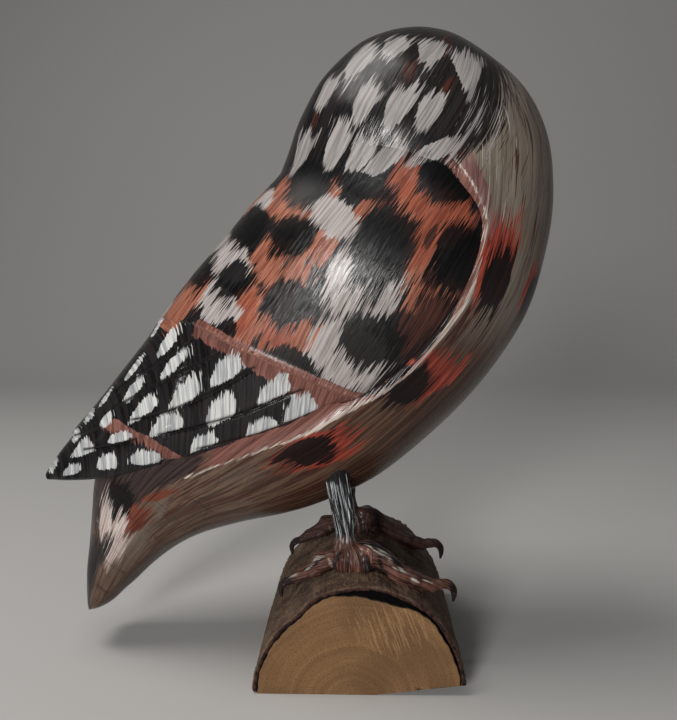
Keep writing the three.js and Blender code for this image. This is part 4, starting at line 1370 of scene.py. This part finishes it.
# The inner face of the bark is marked 2.0 so that it is painted near black: painted shade in the
# gap.
store(log_bark, "depth", with_poles(np.where(is_inner, 2.0, bark_sink), 0.5, 0.5))
store(log_bark, "end_face", with_poles(end_face, 0, 0))
bark_flow = [with_poles(values, 0, 0) for values in (round_log, along_loop, round_log * 0)]
store(log_bark, "bark_flow", np.stack(bark_flow, 1))

WOOD_STEPS, WOOD_RINGS, FLOOR_STEPS = 200, 90, 60
wood_angle = np.linspace(0, math.pi, WOOD_STEPS)
ring_y = np.concatenate([[-half], np.linspace(-half + 0.35, half - 0.35, WOOD_RINGS), [half]])
wood_y, wood_turn = np.meshgrid(ring_y, wood_angle, indexing="ij")
gap = 0.35 + 2.8 * bump_at(wood_turn - 1.34, 0.32) + 0.5 * bump_at(wood_turn - 0.6, 0.4)
gap += 0.15 * np.sin(wood_turn * 23) + 0.1 * np.sin(wood_turn * 57 + 1)
gap *= 1 - 0.8 * smoothstep(-50, -38, wood_y)
rounding = 0.35 * (np.abs(wood_y) > half - 0.1)
wood_x, wood_z = log_outline(wood_turn, wood_y, BARK_THICKNESS + gap - 0.15 + rounding)
arc = np.stack([wood_x, wood_y, wood_z], -1)
floor_share = (np.arange(FLOOR_STEPS) + 1)[:, None] / (FLOOR_STEPS + 1)
underside = arc[:, -1:] + (arc[:, :1] - arc[:, -1:]) * floor_share
wood_rings = np.concatenate([arc, underside], 1)
END_STEPS = (0.985, 0.95, 0.88, 0.78, 0.66, 0.52, 0.38, 0.24, 0.12, 0.04)
END_MIDDLE_Z = 17.0


def end_rings(ring):
    """Rings that close a sawn end: the outline drawn in towards the middle."""
    centre = np.array([0.0, ring[0, 1], END_MIDDLE_Z])
    return [centre + (ring - centre) * share for share in END_STEPS]


wood_rings = np.concatenate([
    np.array(end_rings(wood_rings[0])[::-1]), wood_rings, np.array(end_rings(wood_rings[-1])),
])
log_wood = ring_skin("log_wood", above_chip(wood_rings))
# The wood's curved side lies in the gap under the bark and is painted near black: painted shade.
is_side = np.zeros(len(wood_rings))
is_side[len(END_STEPS) + 1:-len(END_STEPS) - 1] = 1
on_side = with_poles(np.repeat(is_side, wood_rings.shape[1]), 0, 0)
on_side *= places_of(log_wood)[0][:, 2] > 1.5
store(log_wood, "gap_shade_under_bark", on_side)

bark_skin, tree, shader = new_material("bark_skin")
bark_flow, sunk = read(tree, "bark_flow", "Vector"), read(tree, "depth")
mottle = noise(tree, bark_flow, 3.0, 0.12)
speckle = noise(tree, bark_flow, 3.0, 1.1)
fibres = bristles(tree, bark_flow, 15.0, 0.8)
grit = noise(tree, add_node(tree, "ShaderNodeTexCoord", {}).outputs["Object"], 3.0, 500.0)
inner_bark = blend(tree, spread(tree, grit, 0.35, 0.65), paint(24, 13, 11), paint(64, 36, 29))
colour = tinted(
    tree,
    blend(tree, spread(tree, mottle, 0.35, 0.65), paint(70, 51, 42), paint(106, 85, 68)),
    (spread(tree, speckle, 0.45, 0.75, 0.0, 0.7), paint(112, 96, 80)),
    (spread(tree, sunk, 0.5, 0.95, 0.0, 0.8), paint(40, 28, 23)),
    (spread(tree, sunk, 0.25, 0.05, 0.0, 0.5), paint(118, 100, 82)),
    (spread(tree, fibres["Marks"], 0.6, 1.4, 0.0, 0.4), paint(42, 31, 26)),
    (read(tree, "end_face"), inner_bark),
    # painted shade on the bark's inner face, in the gap
    (spread(tree, sunk, 1.6, 1.9), paint(9, 6, 5)),
)
height = maths(tree, "ADD", speckle, times(tree, fibres["Hairs"], 0.5))
roughness = spread(tree, speckle, 0.3, 0.7, 0.7, 0.9)
finish(tree, shader, colour, height, 0.0005, roughness, 0.7, 0.25)
log_bark.data.materials.append(bark_skin)

sawn_wood, tree, shader = new_material("sawn_wood")
place = add_node(tree, "ShaderNodeTexCoord", {}).outputs["Object"]
from_pith = placed(tree, place, {"Location": (0.002, 0.0, 0.004), "Scale": (1.0, 0.04, 1.0)})
warped = times(tree, noise(tree, from_pith, 2.0, 45.0), 0.006)
radius = add_node(tree, "ShaderNodeVectorMath", {0: from_pith}, operation="LENGTH")
radius = maths(tree, "ADD", radius.outputs["Value"], warped)
ring_place = add_node(tree, "ShaderNodeCombineXYZ", {0: times(tree, radius, 420.0)})
rings = noise(tree, ring_place.outputs[0], 2.0)
saw_turn = placed(tree, place, {
    "Rotation": (0, math.radians(-21), 0), "Scale": (0.0007, 0.03, 0.011),
}, vector_type="TEXTURE")
saw_place = placed(tree, place, {
    "Location": (0.012, 0.0, 0.026), "Scale": (0.02, 1.0, 0.012),
}, vector_type="TEXTURE")
near_saw = add_node(tree, "ShaderNodeVectorMath", {0: saw_place}, operation="LENGTH")
near_saw = spread(tree, near_saw.outputs["Value"], 1.2, 0.5, 0.72, 1.0)
saw_marks = times(tree, noise(tree, saw_turn, 2.0), near_saw)
patches = noise(tree, place, 3.0, 40.0)
fine = noise(tree, place, 4.0, 1300.0)
colour = tinted(
    tree,
    blend(tree, spread(tree, rings, 0.36, 0.64), paint(106, 77, 48), paint(120, 89, 57)),
    (spread(tree, patches, 0.4, 0.62, 0.0, 0.65), paint(90, 63, 39)),
    (spread(tree, saw_marks, 0.5, 0.62, 0.0, 0.5), paint(150, 118, 80)),
    (spread(tree, fine, 0.48, 0.7, 0.0, 0.42), paint(72, 48, 29)),
    # painted shade in the gap under the bark
    (read(tree, "gap_shade_under_bark"), paint(8, 5, 4)),
)
height = maths(tree, "ADD", saw_marks, times(tree, fine, 0.4))
roughness = spread(tree, fine, 0.3, 0.7, 0.65, 0.85)
finish(tree, shader, colour, height, 0.0004, roughness, specular=0.3)
log_wood.data.materials.append(sawn_wood)

for piece in (log_bark, log_wood):
    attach(piece, "root")
    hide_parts("half_log")


# The studio: a pale sweep of card under and behind the owl, a soft lamp low in front on the left,
# which gives the highlight on the wing, and a larger, weaker one high on the left.
SWEEP_FRONT, SWEEP_LENGTH, HALF_WIDTH = -2.0, 4.2, 3
BEND_FRONT, BEND_LENGTH, BEND_RADIUS, WALL_STRETCH = 0.9, 0.9, 0.6, 4
sweep_x, sweep_share = np.meshgrid(
    np.linspace(-HALF_WIDTH, HALF_WIDTH, 3), np.linspace(0, 1, 60), indexing="ij"
)
sweep_run = sweep_share * SWEEP_LENGTH + SWEEP_FRONT
bend = np.clip((sweep_run - BEND_FRONT) / BEND_LENGTH, 0, 1) * math.pi / 2
sweep_y = np.minimum(sweep_run, BEND_FRONT) + BEND_RADIUS * np.sin(bend)
up_wall = np.maximum(sweep_run - BEND_FRONT - BEND_LENGTH, 0) * WALL_STRETCH
sweep_z = BEND_RADIUS * (1 - np.cos(bend)) + up_wall
rows, columns = sweep_x.shape
here = (np.arange(rows - 1)[:, None] * columns + np.arange(columns - 1)).ravel()
floor_faces = np.stack([here, here + columns, here + columns + 1, here + 1], 1)
floor_points = np.stack([sweep_x, sweep_y, sweep_z], -1).reshape(-1, 3)
floor = mesh_piece("floor", floor_points, floor_faces.tolist())
pale_card, _, shader = new_material("pale_card")
shader.inputs["Base Color"].default_value = (0.5, 0.49, 0.475, 1)
shader.inputs["Roughness"].default_value = 0.75
floor.data.materials.append(pale_card)


def soft_lamp(name, place, aim, size, power, colour):
    """A square area lamp at a place, turned to face another. Returns its light."""
    lamp = bpy.data.objects.new(name, bpy.data.lights.new(name, "AREA"))
    lamp.data.size = size
    lamp.data.energy = power
    lamp.data.color = colour
    lamp.location = place
    direction = np.array(aim, float) - np.array(place, float)
    across = math.hypot(direction[0], direction[1])
    lamp.rotation_euler = (
        math.atan2(across, -direction[2]),
        0.0,
        math.atan2(-direction[0], direction[1]),
    )
    bpy.context.scene.collection.objects.link(lamp)
    return lamp.data


soft_lamp("main_lamp", (-0.36, -1.08, 0.36), (0.0, 0.0, 0.14), 0.24, 10.5, (1.0, 0.99, 0.97))
top_lamp = soft_lamp("top_lamp", (-0.5, -0.1, 1.1), (0.0, 0.0, 0.13), 0.6, 7, (1.0, 0.98, 0.95))
top_lamp.specular_factor = 0.25
world = bpy.data.worlds.new("studio")
bpy.context.scene.world = world
world.use_nodes = True
world.node_tree.nodes["Background"].inputs["Color"].default_value = (0.75, 0.77, 0.8, 1)
world.node_tree.nodes["Background"].inputs["Strength"].default_value = 0.15
bpy.context.scene.view_settings.view_transform = "Standard"
